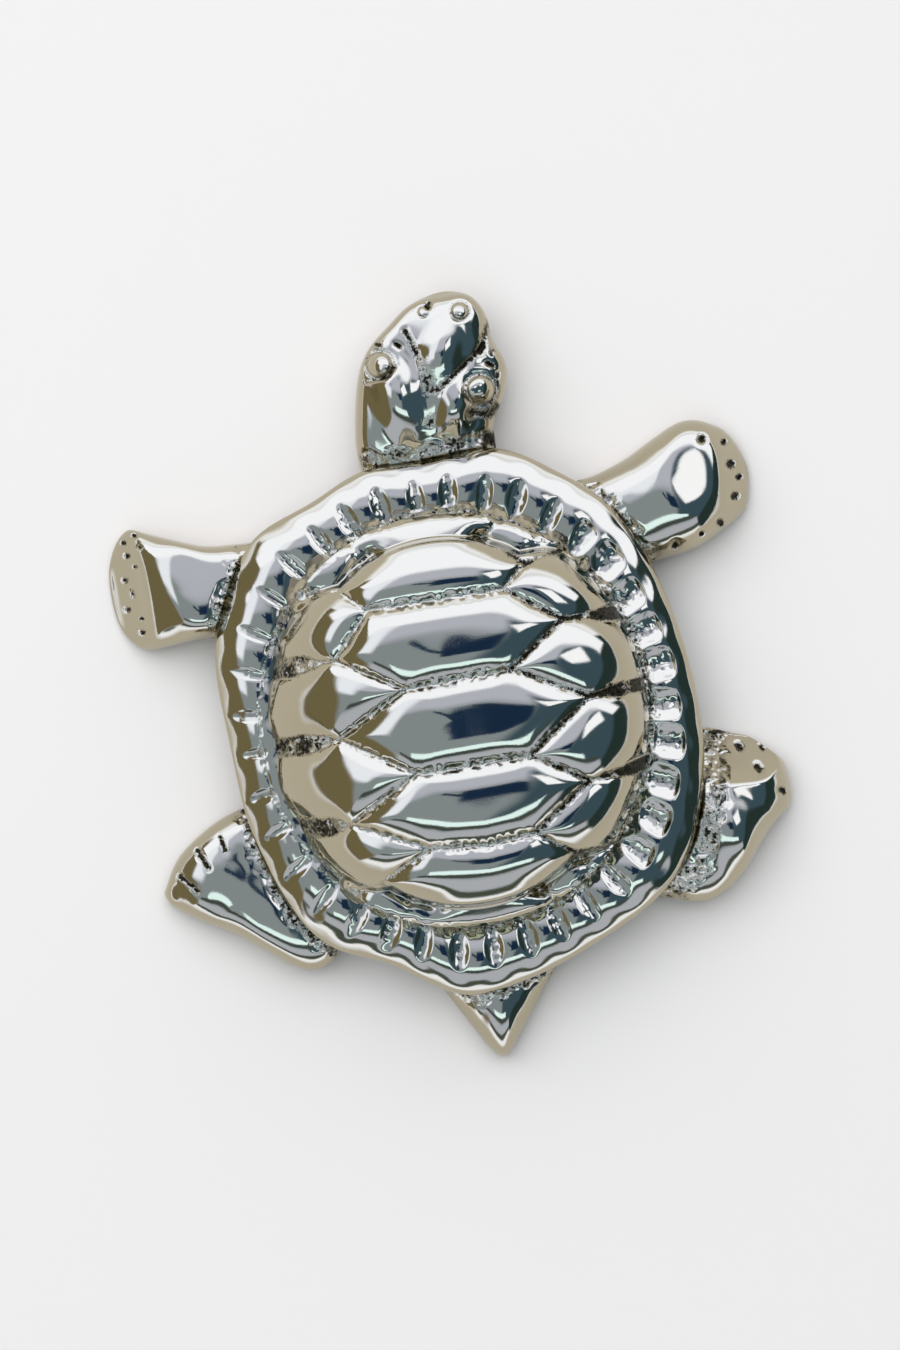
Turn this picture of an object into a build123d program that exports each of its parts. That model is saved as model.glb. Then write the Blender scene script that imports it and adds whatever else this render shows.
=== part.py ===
from build123d import *
import math
import os

# Cast turtle figurine, lying flat on a felt pad.
# The head points to -Y, the turtle's left side to +X, and the ground is at zero height.
# Lengths are in millimetres and angles in degrees.

# Heights, counted from the ground up
felt_thickness = 1.2
felt_proud = 0.5
plate_floor = 3.2
tenon_thickness = 3.3
rim_thickness = 3.4
dome_rise = 16.6

# Carapace in plan
shell_half_width = 28.0
shell_half_length = 31.5
rim_round = 1.5
dome_half_width = 22.9
dome_half_length = 24.4
dome_off_x = 1.7
dome_off_y = -0.6
groove_depth = 1.9
shell_wall = 2.2
scute_depth = 8.0

# Dents of the rim
dent_ring_half_width = 24.9
dent_ring_half_length = 27.9
dent_half_width = 1.0
dent_half_length = 1.8
dent_depth = 0.8

# Belly plate and its felt
plate_inset = 2.2
plate_wall = 2.4
felt_border = 4.0
fit_gap = 0.1

# Head
head_length = 22.0
head_half_width = 9.6
head_height = 12.8
eye_radius = 1.9
nostril_radius = 1.1

# Legs and tail
front_leg_reach = 19.0
front_leg_half_width = 8.0
rear_leg_reach = 20.0
rear_leg_half_width = 10.4
leg_height = 8.4
sole_lift = 0.6
muscle_depth = 3.6
tail_length = 12.1
tail_half_width = 7.6
tail_height = 7.4

# Tenons and the pegs under them
tenon_width = 8.0
tenon_reach = 5.4
tenon_root = 1.4
peg_diameter = 3.0
peg_length = 1.6

# Screws between the plate and the bosses in the carapace
screw_diameter = 3.0
screw_head_diameter = 5.6
screw_head_height = 1.4
screw_length = 9.0
screw_slot_width = 0.8
screw_slot_depth = 0.7
boss_diameter = 6.4
screw_row_x = 8.0
screw_row_y = 10.0

# How far a cutting shape runs past what it cuts
overrun = 1.0

plate_bottom = felt_proud
felt_recess = felt_thickness - felt_proud
floor_top = plate_bottom + plate_floor
rim_bottom = floor_top + tenon_thickness
rim_top = rim_bottom + rim_thickness

# Shell outline, in shares of the half width and half length, from the neck round the right side
shell_outline_shares = [
    (0.00, -1.00), (-0.31, -1.00), (-0.54, -0.88), (-0.71, -0.75), (-0.83, -0.57),
    (-0.91, -0.35), (-0.96, -0.06), (-0.965, 0.16), (-0.90, 0.47), (-0.79, 0.66),
    (-0.54, 0.83), (-0.36, 0.90), (-0.18, 0.96), (0.00, 1.00), (0.20, 1.01),
    (0.36, 0.94), (0.54, 0.83), (0.71, 0.76), (0.81, 0.68), (0.92, 0.50),
    (1.00, 0.22), (1.02, -0.12), (1.00, -0.47), (0.90, -0.66), (0.775, -0.815),
    (0.50, -0.92), (0.275, -1.00),
]

# Scutes: place on the dome and half sizes across and along, in shares of the dome's half sizes, and depth
# in shares of the scute depth
spine_scute_shares = [
    (-0.03, -0.71, 0.42, 0.25, 0.80), (-0.02, -0.385, 0.56, 0.33, 1.00), (-0.04, 0.015, 0.60, 0.33, 1.00),
    (0.00, 0.40, 0.58, 0.33, 1.00), (0.00, 0.71, 0.42, 0.25, 0.80), (0.00, 0.91, 0.46, 0.18, 0.60),
]
flank_scute_shares = [
    (0.62, -0.57, 0.56, 0.30, 1.00), (0.75, -0.20, 0.58, 0.30, 1.00), (0.75, 0.18, 0.58, 0.30, 1.00),
    (0.65, 0.56, 0.56, 0.30, 1.00), (0.42, 0.80, 0.36, 0.24, 0.60), (0.44, -0.82, 0.36, 0.22, 0.60),
    (-0.66, -0.54, 0.54, 0.30, 1.00), (-0.76, -0.22, 0.58, 0.28, 1.00), (-0.77, 0.15, 0.58, 0.29, 1.00),
    (-0.68, 0.50, 0.56, 0.28, 1.00), (-0.46, 0.78, 0.38, 0.24, 0.60), (-0.46, -0.81, 0.34, 0.20, 0.50),
    (0.00, -0.93, 0.20, 0.42, 0.60),
]
dent_count = 37

# Powers of the dome's crest curve: a higher crown power flattens its middle, and a higher flank power fills
# its sides. On the turtle's left both fall, because that flank is the gentlest
crown_power = 3.2
crown_power_left = 2.0
flank_power = 2.8
flank_power_left = 1.6
slope_probe_share = 0.001

# Limb stations: distance along, right edge, left edge, underside and top, in shares of the limb's reach,
# half width and height; the edges are taken across the limb from its axis
head_stations_shares = [
    (0.00, -0.78, 0.92, 0.00, 0.60), (0.16, -0.78, 0.94, 0.00, 0.64), (0.27, -0.82, 0.94, 0.01, 0.80),
    (0.37, -0.96, 0.91, 0.02, 0.93), (0.48, -1.06, 0.86, 0.04, 0.98), (0.58, -1.07, 0.80, 0.07, 0.98),
    (0.68, -0.98, 0.71, 0.10, 0.94), (0.78, -0.95, 0.54, 0.14, 0.88), (0.87, -0.91, 0.28, 0.18, 0.80),
    (0.94, -0.81, 0.06, 0.23, 0.68), (0.98, -0.67, -0.16, 0.30, 0.54),
]
front_left_stations_shares = [
    (0.00, -0.62, 0.62, 0.00, 0.86), (0.21, -0.66, 0.70, 0.00, 0.94), (0.35, -0.70, 0.69, 0.00, 1.00),
    (0.48, -0.81, 0.67, 0.00, 1.00), (0.62, -0.95, 0.68, 0.00, 0.82), (0.75, -1.09, 0.69, 0.00, 0.60),
    (0.82, -1.14, 0.68, 0.00, 0.46), (0.88, -1.06, 0.61, 0.00, 0.34), (0.94, -0.87, 0.45, 0.00, 0.22),
    (0.98, -0.64, 0.24, 0.00, 0.14),
]
front_right_stations_shares = [
    (0.00, -0.90, 0.52, 0.00, 0.80), (0.13, -0.91, 0.60, 0.00, 0.84), (0.26, -0.91, 0.71, 0.00, 0.88),
    (0.36, -0.88, 0.83, 0.00, 0.92), (0.48, -0.85, 0.97, 0.00, 0.92), (0.61, -0.79, 1.09, 0.00, 0.90),
    (0.73, -0.66, 1.08, 0.00, 0.82), (0.83, -0.54, 0.98, 0.00, 0.70), (0.90, -0.44, 0.85, 0.00, 0.56),
    (0.95, -0.31, 0.64, 0.00, 0.42), (0.985, -0.06, 0.43, 0.00, 0.26),
]
rear_left_stations_shares = [
    (0.00, -0.77, 0.86, 0.00, 0.74), (0.13, -0.86, 1.04, 0.00, 0.80), (0.24, -0.91, 1.03, 0.00, 0.84),
    (0.38, -0.93, 0.86, 0.00, 0.88), (0.50, -0.90, 0.67, 0.00, 0.86), (0.62, -0.82, 0.49, 0.00, 0.78),
    (0.75, -0.68, 0.34, 0.00, 0.68), (0.85, -0.54, 0.22, 0.00, 0.56), (0.92, -0.39, 0.12, 0.00, 0.42),
    (0.98, -0.19, 0.01, 0.00, 0.26),
]
rear_right_stations_shares = [
    (0.00, -0.82, 0.77, 0.00, 0.74), (0.13, -0.92, 0.85, 0.00, 0.80), (0.24, -1.00, 0.88, 0.00, 0.86),
    (0.36, -1.05, 0.92, 0.00, 0.90), (0.45, -1.03, 0.93, 0.00, 0.92), (0.54, -0.94, 0.92, 0.00, 0.92),
    (0.64, -0.79, 0.86, 0.00, 0.90), (0.72, -0.61, 0.79, 0.00, 0.86), (0.81, -0.41, 0.72, 0.00, 0.80),
    (0.89, -0.27, 0.58, 0.00, 0.68), (0.95, -0.19, 0.47, 0.00, 0.52), (0.985, -0.12, 0.38, 0.00, 0.34),
]
tail_stations_shares = [
    (0.00, -1.08, 1.20, 0.00, 0.90), (0.17, -0.90, 1.03, 0.00, 0.90), (0.33, -0.76, 0.82, 0.00, 0.86),
    (0.50, -0.62, 0.61, 0.00, 0.80), (0.66, -0.49, 0.42, 0.00, 0.70), (0.83, -0.35, 0.21, 0.00, 0.56),
    (0.94, -0.23, 0.08, 0.00, 0.40),
]

# Tip of each limb: how far it stands across the axis and how high, in the same shares
head_tip_shares = (-0.43, 0.44)
front_left_tip_shares = (-0.22, 0.04)
front_right_tip_shares = (0.21, 0.08)
rear_left_tip_shares = (-0.10, 0.08)
rear_right_tip_shares = (0.10, 0.12)
tail_tip_shares = (-0.08, 0.12)

# Muscles of the limbs: place along and across, half sizes along and across, height of the crest
head_muscles_shares = [
    (0.70, -0.32, 0.27, 0.44, 1.04), (0.52, 0.36, 0.20, 0.38, 1.00), (0.40, -0.27, 0.14, 0.30, 0.98),
]
front_left_muscles_shares = [
    (0.28, 0.00, 0.22, 0.50, 0.96),
]
front_right_muscles_shares = [
    (0.61, 0.28, 0.23, 0.68, 1.10),
]
rear_left_muscles_shares = [
    (0.42, 0.36, 0.28, 0.42, 1.00), (0.72, -0.28, 0.14, 0.20, 0.80),
]
rear_right_muscles_shares = [
    (0.62, -0.30, 0.22, 0.42, 1.08), (0.80, 0.48, 0.11, 0.20, 0.86),
]
eyes_shares = [(0.66, 0.47, 0.74), (0.43, -0.68, 0.76)]
nostrils_shares = [(0.87, -0.60, 0.86), (0.915, -0.20, 0.78)]

# Where each limb starts, in shares of the shell's half width and half length
head_root_shares = (-0.046, -0.92)
front_left_root_shares = (0.74, -0.654)
front_right_root_shares = (-0.679, -0.705)
rear_left_root_shares = (0.70, 0.476)
rear_right_root_shares = (-0.586, 0.476)
tail_root_shares = (0.082, 0.889)

# Shape of a limb's cross-section, in shares of its width and height: how far its sole stands in from the
# widest place, how high that place is, and how far in and up the shoulder stands
sole_in_share = 0.08
waist_up_share = 0.30
shoulder_in_share = 0.13
shoulder_up_share = 0.76

# Where each tenon crosses the plate's edge, in shares of the plate's half width and half length
head_tenon_shares = (-0.03, -1.00)
front_left_tenon_shares = (0.895, -0.66)
front_right_tenon_shares = (-0.75, -0.71)
rear_left_tenon_shares = (0.905, 0.515)
rear_right_tenon_shares = (-0.845, 0.57)
tail_tenon_shares = (0.075, 1.00)

# Directions in plan
LEFTWARD = 0
TAILWARD = 90
RIGHTWARD = 180
HEADWARD = 270
FRONT_LEFT_TENON = 329
FRONT_RIGHT_TENON = 213
REAR_LEFT_TENON = 25
REAR_RIGHT_TENON = 156

tenon_places = [
    (head_tenon_shares, HEADWARD),
    (front_left_tenon_shares, FRONT_LEFT_TENON),
    (front_right_tenon_shares, FRONT_RIGHT_TENON),
    (rear_left_tenon_shares, REAR_LEFT_TENON),
    (rear_right_tenon_shares, REAR_RIGHT_TENON),
    (tail_tenon_shares, TAILWARD),
]


def ellipsoid(half_x, half_y, half_z):
    """Ellipsoid about the origin."""
    unit = Sphere(half_z)
    return scale(unit, by=(half_x / half_z, half_y / half_z, 1))


def slab(outline, bottom, top):
    """Upright solid on an outline face, between two heights."""
    return Pos(0, 0, bottom) * extrude(outline, amount=top - bottom)


def shell_face(inset):
    """Shell outline as a face, drawn in by an inset."""
    half_x = shell_half_width - inset
    half_y = shell_half_length - inset
    points = [(x * half_x, y * half_y) for x, y in shell_outline_shares]
    return make_face(Spline(points, periodic=True))


def crest_point(x_share, y_share):
    """Point on the dome's crest surface."""
    out = math.hypot(x_share, y_share)
    left = (max(x_share, 0) / out) ** 2 if out else 0
    crown = crown_power + (crown_power_left - crown_power) * left
    flank = flank_power + (flank_power_left - flank_power) * left
    return Vector(
        dome_off_x + x_share * dome_half_width,
        dome_off_y + y_share * dome_half_length,
        rim_bottom + (1 - out**crown) ** (1 / flank) * dome_rise,
    )


def dome_point(x_share, y_share):
    """Point on the dome's crest surface and its outward direction there."""
    place = crest_point(x_share, y_share)
    leftward = crest_point(x_share + slope_probe_share, y_share) - place
    tailward = crest_point(x_share, y_share + slope_probe_share) - place
    return place, leftward.cross(tailward).normalized()


def dome_solid(inset):
    """Dome ellipsoid drawn in by an inset, above the underside of the rim."""
    whole = ellipsoid(dome_half_width - inset, dome_half_length - inset, dome_rise - inset)
    reach = dome_half_length + dome_rise
    keep = Pos(0, 0, reach / 2) * Box(2 * reach, 2 * reach, reach)
    return Pos(dome_off_x, dome_off_y, rim_bottom) * (whole & keep)


def scute(x_share, y_share, long_share, short_share, depth_share, long_way):
    """One pillow-shaped scute, sunk so that its crest touches the dome's crest surface."""
    place, outward = dome_point(x_share, y_share)
    depth = depth_share * scute_depth
    body = ellipsoid(long_share * dome_half_width, short_share * dome_half_length, depth)
    seat = Plane(origin=place - outward * depth, x_dir=long_way(outward), z_dir=outward)
    return seat * body


def sideways(outward):
    """Direction across the dome, along its surface."""
    return Vector(0, 1, 0).cross(outward)


def downhill(outward):
    """Direction of steepest fall along the dome's surface."""
    return Vector(0, 0, 1).cross(outward).cross(outward)


def rim_dents():
    """Ring of oval dents that run across the rim."""
    dents = []
    for index in range(dent_count):
        turn = 2 * math.pi * index / dent_count
        x = dome_off_x / 2 + dent_ring_half_width * math.cos(turn)
        y = dome_off_y + dent_ring_half_length * math.sin(turn)
        outward_x = dent_ring_half_length * math.cos(turn)
        outward_y = dent_ring_half_width * math.sin(turn)
        heading = math.degrees(math.atan2(outward_y, outward_x))
        dent = ellipsoid(dent_half_length, dent_half_width, dent_depth)
        dents.append(Pos(x, y, rim_top) * Rot(0, 0, heading) * dent)
    return dents


def screw_places():
    """The four places of the shell screws."""
    return [(x * screw_row_x, y * screw_row_y) for x in (-1, 1) for y in (-1, 1)]


def upright(x, y, bottom, top, diameter):
    """Upright round bar between two heights."""
    bar = Cylinder(diameter / 2, top - bottom, align=(Align.CENTER, Align.CENTER, Align.MIN))
    return Pos(x, y, bottom) * bar


def screw(x, y):
    """Countersunk screw, head down, without its slot."""
    head_bottom = plate_bottom + felt_recess
    head = Cone(
        screw_head_diameter / 2,
        screw_diameter / 2,
        screw_head_height,
        align=(Align.CENTER, Align.CENTER, Align.MIN),
    )
    shank_bottom = head_bottom + screw_head_height
    shank = upright(x, y, shank_bottom, shank_bottom + screw_length, screw_diameter)
    return Pos(x, y, head_bottom) * head + shank


def shell_screws():
    """The four screws that clamp the belly plate to the carapace, with their slots."""
    head_bottom = plate_bottom + felt_recess
    screws = []
    for x, y in screw_places():
        slot = Box(screw_head_diameter + overrun, screw_slot_width, 2 * screw_slot_depth)
        screws.append(screw(x, y) - Pos(x, y, head_bottom) * slot)
    return Compound(children=screws)


def carapace():
    """Hollow domed shell with its rim, scutes, dents and screw bosses."""
    rim = slab(shell_face(0), rim_bottom, rim_top)
    rim = fillet(rim.edges().group_by(Axis.Z)[-1], rim_round)
    rim = rim - rim_dents()
    scutes = [scute(*row, sideways) for row in spine_scute_shares]
    scutes = scutes + [scute(*row, downhill) for row in flank_scute_shares]
    reach = 2 * (dome_half_length + dome_rise)
    above = Pos(0, 0, rim_bottom) * Box(reach, reach, reach, align=(Align.CENTER, Align.CENTER, Align.MIN))
    body = ((dome_solid(groove_depth) + scutes) & above) + rim
    body = body - dome_solid(groove_depth + shell_wall)
    boss_roof = dome_solid(groove_depth + shell_wall / 2)
    for x, y in screw_places():
        body = body + upright(x, y, floor_top, rim_bottom, boss_diameter)
        body = body + (upright(x, y, rim_bottom, rim_bottom + dome_rise, boss_diameter) & boss_roof)
        hole_top = plate_bottom + felt_recess + screw_head_height + screw_length + overrun
        body = body - upright(x, y, floor_top, hole_top, screw_diameter)
    return body


def tenon_box(place_shares, heading, gap):
    """Tenon of a limb, from inside the limb's body to the plate's pocket, grown sideways by a gap."""
    x_share, y_share = place_shares
    x = x_share * (shell_half_width - plate_inset)
    y = y_share * (shell_half_length - plate_inset)
    length = tenon_reach + tenon_root + gap
    box = Box(length, tenon_width + 2 * gap, tenon_thickness, align=(Align.MAX, Align.CENTER, Align.MIN))
    return Pos(x, y, floor_top) * Rot(0, 0, heading) * Pos(tenon_root, 0, 0) * box


def tenon_peg(place_shares, heading, gap):
    """Locating peg under a tenon, grown by a gap."""
    x_share, y_share = place_shares
    x = x_share * (shell_half_width - plate_inset)
    y = y_share * (shell_half_length - plate_inset)
    inward = tenon_reach - peg_diameter
    turn = math.radians(heading)
    bottom = floor_top - peg_length - gap
    return upright(
        x - inward * math.cos(turn), y - inward * math.sin(turn), bottom, floor_top, peg_diameter + 2 * gap
    )


def belly_plate():
    """Flat-bottomed plate with a low wall, notched for the tenons and bored for pegs and screws."""
    body = slab(shell_face(plate_inset), plate_bottom, rim_bottom)
    body = body - slab(shell_face(plate_inset + plate_wall), floor_top, rim_bottom + overrun)
    recess_top = plate_bottom + felt_recess
    body = body - slab(shell_face(plate_inset + felt_border), plate_bottom - overrun, recess_top)
    for place_shares, heading in tenon_places:
        body = body - tenon_box(place_shares, heading, fit_gap)
        body = body - tenon_peg(place_shares, heading, fit_gap)
    for x, y in screw_places():
        body = body - screw(x, y)
        body = body - upright(x, y, recess_top, floor_top, screw_diameter + 2 * fit_gap)
    return body


def felt_pad():
    """Felt sheet that fills the plate's recess and stands a little below it."""
    return slab(shell_face(plate_inset + felt_border + fit_gap), 0, felt_thickness)


class Limb:
    """A limb's place, direction and sizes, and the solids that are set out along it."""

    def __init__(self, root_shares, heading, reach, half_width, height):
        x_share, y_share = root_shares
        turn = math.radians(heading)
        self.root = Vector(x_share * shell_half_width, y_share * shell_half_length, 0)
        self.ahead = Vector(math.cos(turn), math.sin(turn), 0)
        self.left = Vector(-math.sin(turn), math.cos(turn), 0)
        self.reach = reach
        self.half_width = half_width
        self.height = height

    def place(self, along_share, across_share, height_share):
        """Point of the limb at shares of its reach, half width and height."""
        point = self.root + self.ahead * (along_share * self.reach)
        point = point + self.left * (across_share * self.half_width)
        return point + Vector(0, 0, sole_lift + height_share * self.height)

    def section(self, along_share, right_share, left_share, under_share, top_share):
        """Cross-section with a flat underside and a rounded back."""
        right = right_share * self.half_width
        left = left_share * self.half_width
        under = sole_lift + under_share * self.height
        top = sole_lift + top_share * self.height
        sole_in = sole_in_share * (left - right)
        shoulder_in = shoulder_in_share * (left - right)
        waist = under + waist_up_share * (top - under)
        shoulder = under + shoulder_up_share * (top - under)
        points = [
            (right + sole_in, under),
            (right, waist),
            (right + shoulder_in, shoulder),
            ((right + left) / 2, top),
            (left - shoulder_in, shoulder),
            (left, waist),
            (left - sole_in, under),
        ]
        back = Spline(points)
        middle = self.root + self.ahead * (along_share * self.reach)
        seat = Plane(origin=middle, x_dir=self.left, z_dir=self.ahead)
        return seat * make_face([back, Line(points[-1], points[0])])

    def body(self, stations, tip_shares, muscles, blunt=False):
        """Loft through the stations to the tip, straight between them if blunt, with the muscles added."""
        tip = Vertex(*self.place(1, *tip_shares))
        whole = loft([self.section(*row) for row in stations] + [tip], ruled=blunt)
        turn = math.degrees(math.atan2(self.ahead.Y, self.ahead.X))
        for along, across, half_along, half_across, crest in muscles:
            lobe = ellipsoid(half_along * self.reach, half_across * self.half_width, muscle_depth)
            place = self.place(along, across, crest) - Vector(0, 0, muscle_depth)
            whole = whole + Pos(*place) * Rot(0, 0, turn) * lobe
        return whole


def under_shell(body, place_shares, heading):
    """A limb's body cut to fit against the shell, with its tenon and peg."""
    body = body - slab(shell_face(-fit_gap), rim_bottom, rim_bottom + dome_rise)
    body = body - slab(shell_face(plate_inset - fit_gap), -overrun, rim_bottom)
    body = body.solids().sort_by(SortBy.VOLUME)[-1]
    return body + tenon_box(place_shares, heading, 0) + tenon_peg(place_shares, heading, 0)


def head():
    """Head with brow lobes, eyes and nostrils, on its neck tenon."""
    limb = Limb(head_root_shares, HEADWARD, head_length, head_half_width, head_height)
    body = limb.body(head_stations_shares, head_tip_shares, head_muscles_shares)
    for row in eyes_shares:
        body = body + Pos(*limb.place(*row)) * Sphere(eye_radius)
    for row in nostrils_shares:
        body = body - Pos(*limb.place(*row)) * Sphere(nostril_radius)
    return under_shell(body, head_tenon_shares, HEADWARD)


def leg(
    root_shares, heading, reach, half_width, stations, tip, muscles, tenon_shares, tenon_heading, blunt=False
):
    """One leg with its foot, on its tenon."""
    limb = Limb(root_shares, heading, reach, half_width, leg_height)
    return under_shell(limb.body(stations, tip, muscles, blunt), tenon_shares, tenon_heading)


def front_left_leg():
    """Flared front foot on the turtle's left."""
    return leg(
        front_left_root_shares, LEFTWARD, front_leg_reach, front_leg_half_width,
        front_left_stations_shares, front_left_tip_shares, front_left_muscles_shares,
        front_left_tenon_shares, FRONT_LEFT_TENON, blunt=True,
    )


def front_right_leg():
    """Front foot on the turtle's right, with a bulging knee."""
    return leg(
        front_right_root_shares, RIGHTWARD, front_leg_reach, front_leg_half_width,
        front_right_stations_shares, front_right_tip_shares, front_right_muscles_shares,
        front_right_tenon_shares, FRONT_RIGHT_TENON,
    )


def rear_left_leg():
    """Hind foot on the turtle's left, swept back to a point."""
    return leg(
        rear_left_root_shares, LEFTWARD, rear_leg_reach, rear_leg_half_width,
        rear_left_stations_shares, rear_left_tip_shares, rear_left_muscles_shares,
        rear_left_tenon_shares, REAR_LEFT_TENON,
    )


def rear_right_leg():
    """Hind foot on the turtle's right, with two blunt toes."""
    return leg(
        rear_right_root_shares, RIGHTWARD, rear_leg_reach, rear_leg_half_width,
        rear_right_stations_shares, rear_right_tip_shares, rear_right_muscles_shares,
        rear_right_tenon_shares, REAR_RIGHT_TENON,
    )


def tail():
    """Wedge-shaped tail on its tenon."""
    limb = Limb(tail_root_shares, TAILWARD, tail_length, tail_half_width, tail_height)
    body = limb.body(tail_stations_shares, tail_tip_shares, [])
    return under_shell(body, tail_tenon_shares, TAILWARD)


os.makedirs("parts", exist_ok=True)
for make_node in (
    carapace, belly_plate, head, front_left_leg, front_right_leg,
    rear_left_leg, rear_right_leg, tail, shell_screws, felt_pad,
):
    export_step(make_node(), f"parts/{make_node.__name__}.step")
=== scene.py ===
"""Polished cast turtle figurine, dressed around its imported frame.

The head points to -Y, the turtle's left side to +X, and the felt rests on zero height. Sizes are given in
millimetres and become metres where a mesh is written.
"""

import logging
import math
from dataclasses import dataclass
from enum import Enum
from typing import Any, Sequence

import bpy
import numpy as np
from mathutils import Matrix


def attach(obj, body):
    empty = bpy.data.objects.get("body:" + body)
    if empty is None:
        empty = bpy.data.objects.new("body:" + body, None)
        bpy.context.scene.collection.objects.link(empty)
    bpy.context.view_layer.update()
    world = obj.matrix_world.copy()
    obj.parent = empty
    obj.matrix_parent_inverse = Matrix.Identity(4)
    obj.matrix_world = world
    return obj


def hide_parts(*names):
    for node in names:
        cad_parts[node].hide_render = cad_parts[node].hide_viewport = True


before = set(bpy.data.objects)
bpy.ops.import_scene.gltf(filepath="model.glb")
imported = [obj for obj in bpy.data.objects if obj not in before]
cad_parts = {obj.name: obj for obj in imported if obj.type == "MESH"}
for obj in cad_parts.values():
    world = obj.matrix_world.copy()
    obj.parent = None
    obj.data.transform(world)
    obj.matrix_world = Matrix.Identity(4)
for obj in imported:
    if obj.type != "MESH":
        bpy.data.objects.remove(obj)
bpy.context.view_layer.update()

LOG = logging.getLogger("turtle")
Array = np.ndarray
Pair = tuple[float, float]
Triple = tuple[float, float, float]
Material = bpy.types.Material
Object = bpy.types.Object
MM = 0.001
FULL_TURN = 2.0 * math.pi
QUARTER_TURN = 0.5 * math.pi
FAR = 1000.0
# Numbers that scramble the corner of a noise cell into a value of its own
HASH_AXES = np.array([73856093, 19349663, 83492791])
HASH_SEED = 7919
HASH_MIX = 1274126177
HASH_MASK = 0x7FFFFFFF
HASH_LEVELS = 65536
HASH_SHIFTS = (13, 16)


# Numbers on arrays


def smoothstep(low: float, high: float, x: Array) -> Array:
    """Rises from 0 at low to 1 at high along a cubic with level ends.

    Args:
        low: value where the rise begins.
        high: value where it ends; below low for a fall.
        x: values to shape.

    Returns:
        The shaped values.
    """
    t = np.clip((x - low) / (high - low), 0.0, 1.0)
    return t * t * (3.0 - 2.0 * t)


def bell(x: Array, width: float) -> Array:
    """Gaussian bell, exp(-(x / width) squared)."""
    return np.exp(-((x / width) ** 2))


def smooth_max(a: Array, b: Array, blend: float) -> Array:
    """Larger of two surfaces, with their crease rounded over a height of about blend.

    Args:
        a: first surface.
        b: second surface.
        blend: height difference within which they melt together.

    Returns:
        The joined surface.
    """
    share = np.clip(0.5 + 0.5 * (a - b) / blend, 0.0, 1.0)
    return b + (a - b) * share + blend * share * (1.0 - share)


def grained(mask: Array, amounts: Pair, grain: Array) -> Array:
    """A mask as a depth or a darkness, plain and with grain: mask * (plain + rough * grain)."""
    return mask * (amounts[0] + amounts[1] * grain)


def ellipse_radius(angle: Array, half_x: float, half_y: float, share: float = 1.0) -> Array:
    """Radius of an ellipse in each direction, times a share: share / hypot(cos / half_x, sin / half_y)."""
    return share / np.hypot(np.cos(angle) / half_x, np.sin(angle) / half_y)


def turned(x: Array, y: Array, middle: Pair, turn: float) -> tuple[Array, Array]:
    """Plan offsets from a middle, turned to run ahead along a heading and across it to its left.

    Args:
        x: plan coordinate.
        y: plan coordinate.
        middle: plan point that the offsets are taken from.
        turn: heading in degrees from +X towards +Y.

    Returns:
        Offsets ahead and to the left.
    """
    ahead_x, ahead_y = math.cos(math.radians(turn)), math.sin(math.radians(turn))
    dx, dy = x - middle[0], y - middle[1]
    return dx * ahead_x + dy * ahead_y, dy * ahead_x - dx * ahead_y


class Pattern(Enum):
    """Noise patterns of the castings, each a cell width in millimetres and a seed."""

    DENT_WOBBLE = (1.0, 5)
    SHELL_GRAIN = (0.5, 11)
    SHELL_SPECKS = (1.1, 12)
    SHELL_SWELL = (6.0, 13)
    SHELL_RIPPLE = (2.8, 14)
    ROOT_EDGE = (1.6, 21)
    LIMB_GRAIN = (0.5, 22)
    LIMB_SWELL = (5.0, 23)
    LIMB_SPECKS = (1.1, 24)
    LIMB_RIPPLE = (2.2, 25)

    def at(self, x: Array, y: Array | float, z: Array | float = 0.0) -> Array:
        """Smooth noise from -1 to 1: hashed values at the corners of cubic cells, blended by a quintic fade.

        Args:
            x: first coordinate.
            y: second coordinate.
            z: third coordinate.

        Returns:
            One value for each point.
        """
        cell, seed = self.value
        point = np.stack(np.broadcast_arrays(x, y, z), axis=-1) / cell
        base = np.floor(point).astype(np.int64)
        fade = point - base
        fade = fade**3 * (fade * (6.0 * fade - 15.0) + 10.0)
        total = np.zeros(point.shape[:-1])
        for corner in np.ndindex(2, 2, 2):
            key = (base + np.array(corner)) @ HASH_AXES + seed * HASH_SEED
            key = (key ^ (key >> HASH_SHIFTS[0])) * HASH_MIX & HASH_MASK
            value = (key ^ (key >> HASH_SHIFTS[1])) % HASH_LEVELS / (0.5 * (HASH_LEVELS - 1)) - 1.0
            weight = np.prod(np.where(np.array(corner) == 1, fade, 1.0 - fade), axis=-1)
            total += weight * value
        return total


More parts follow.
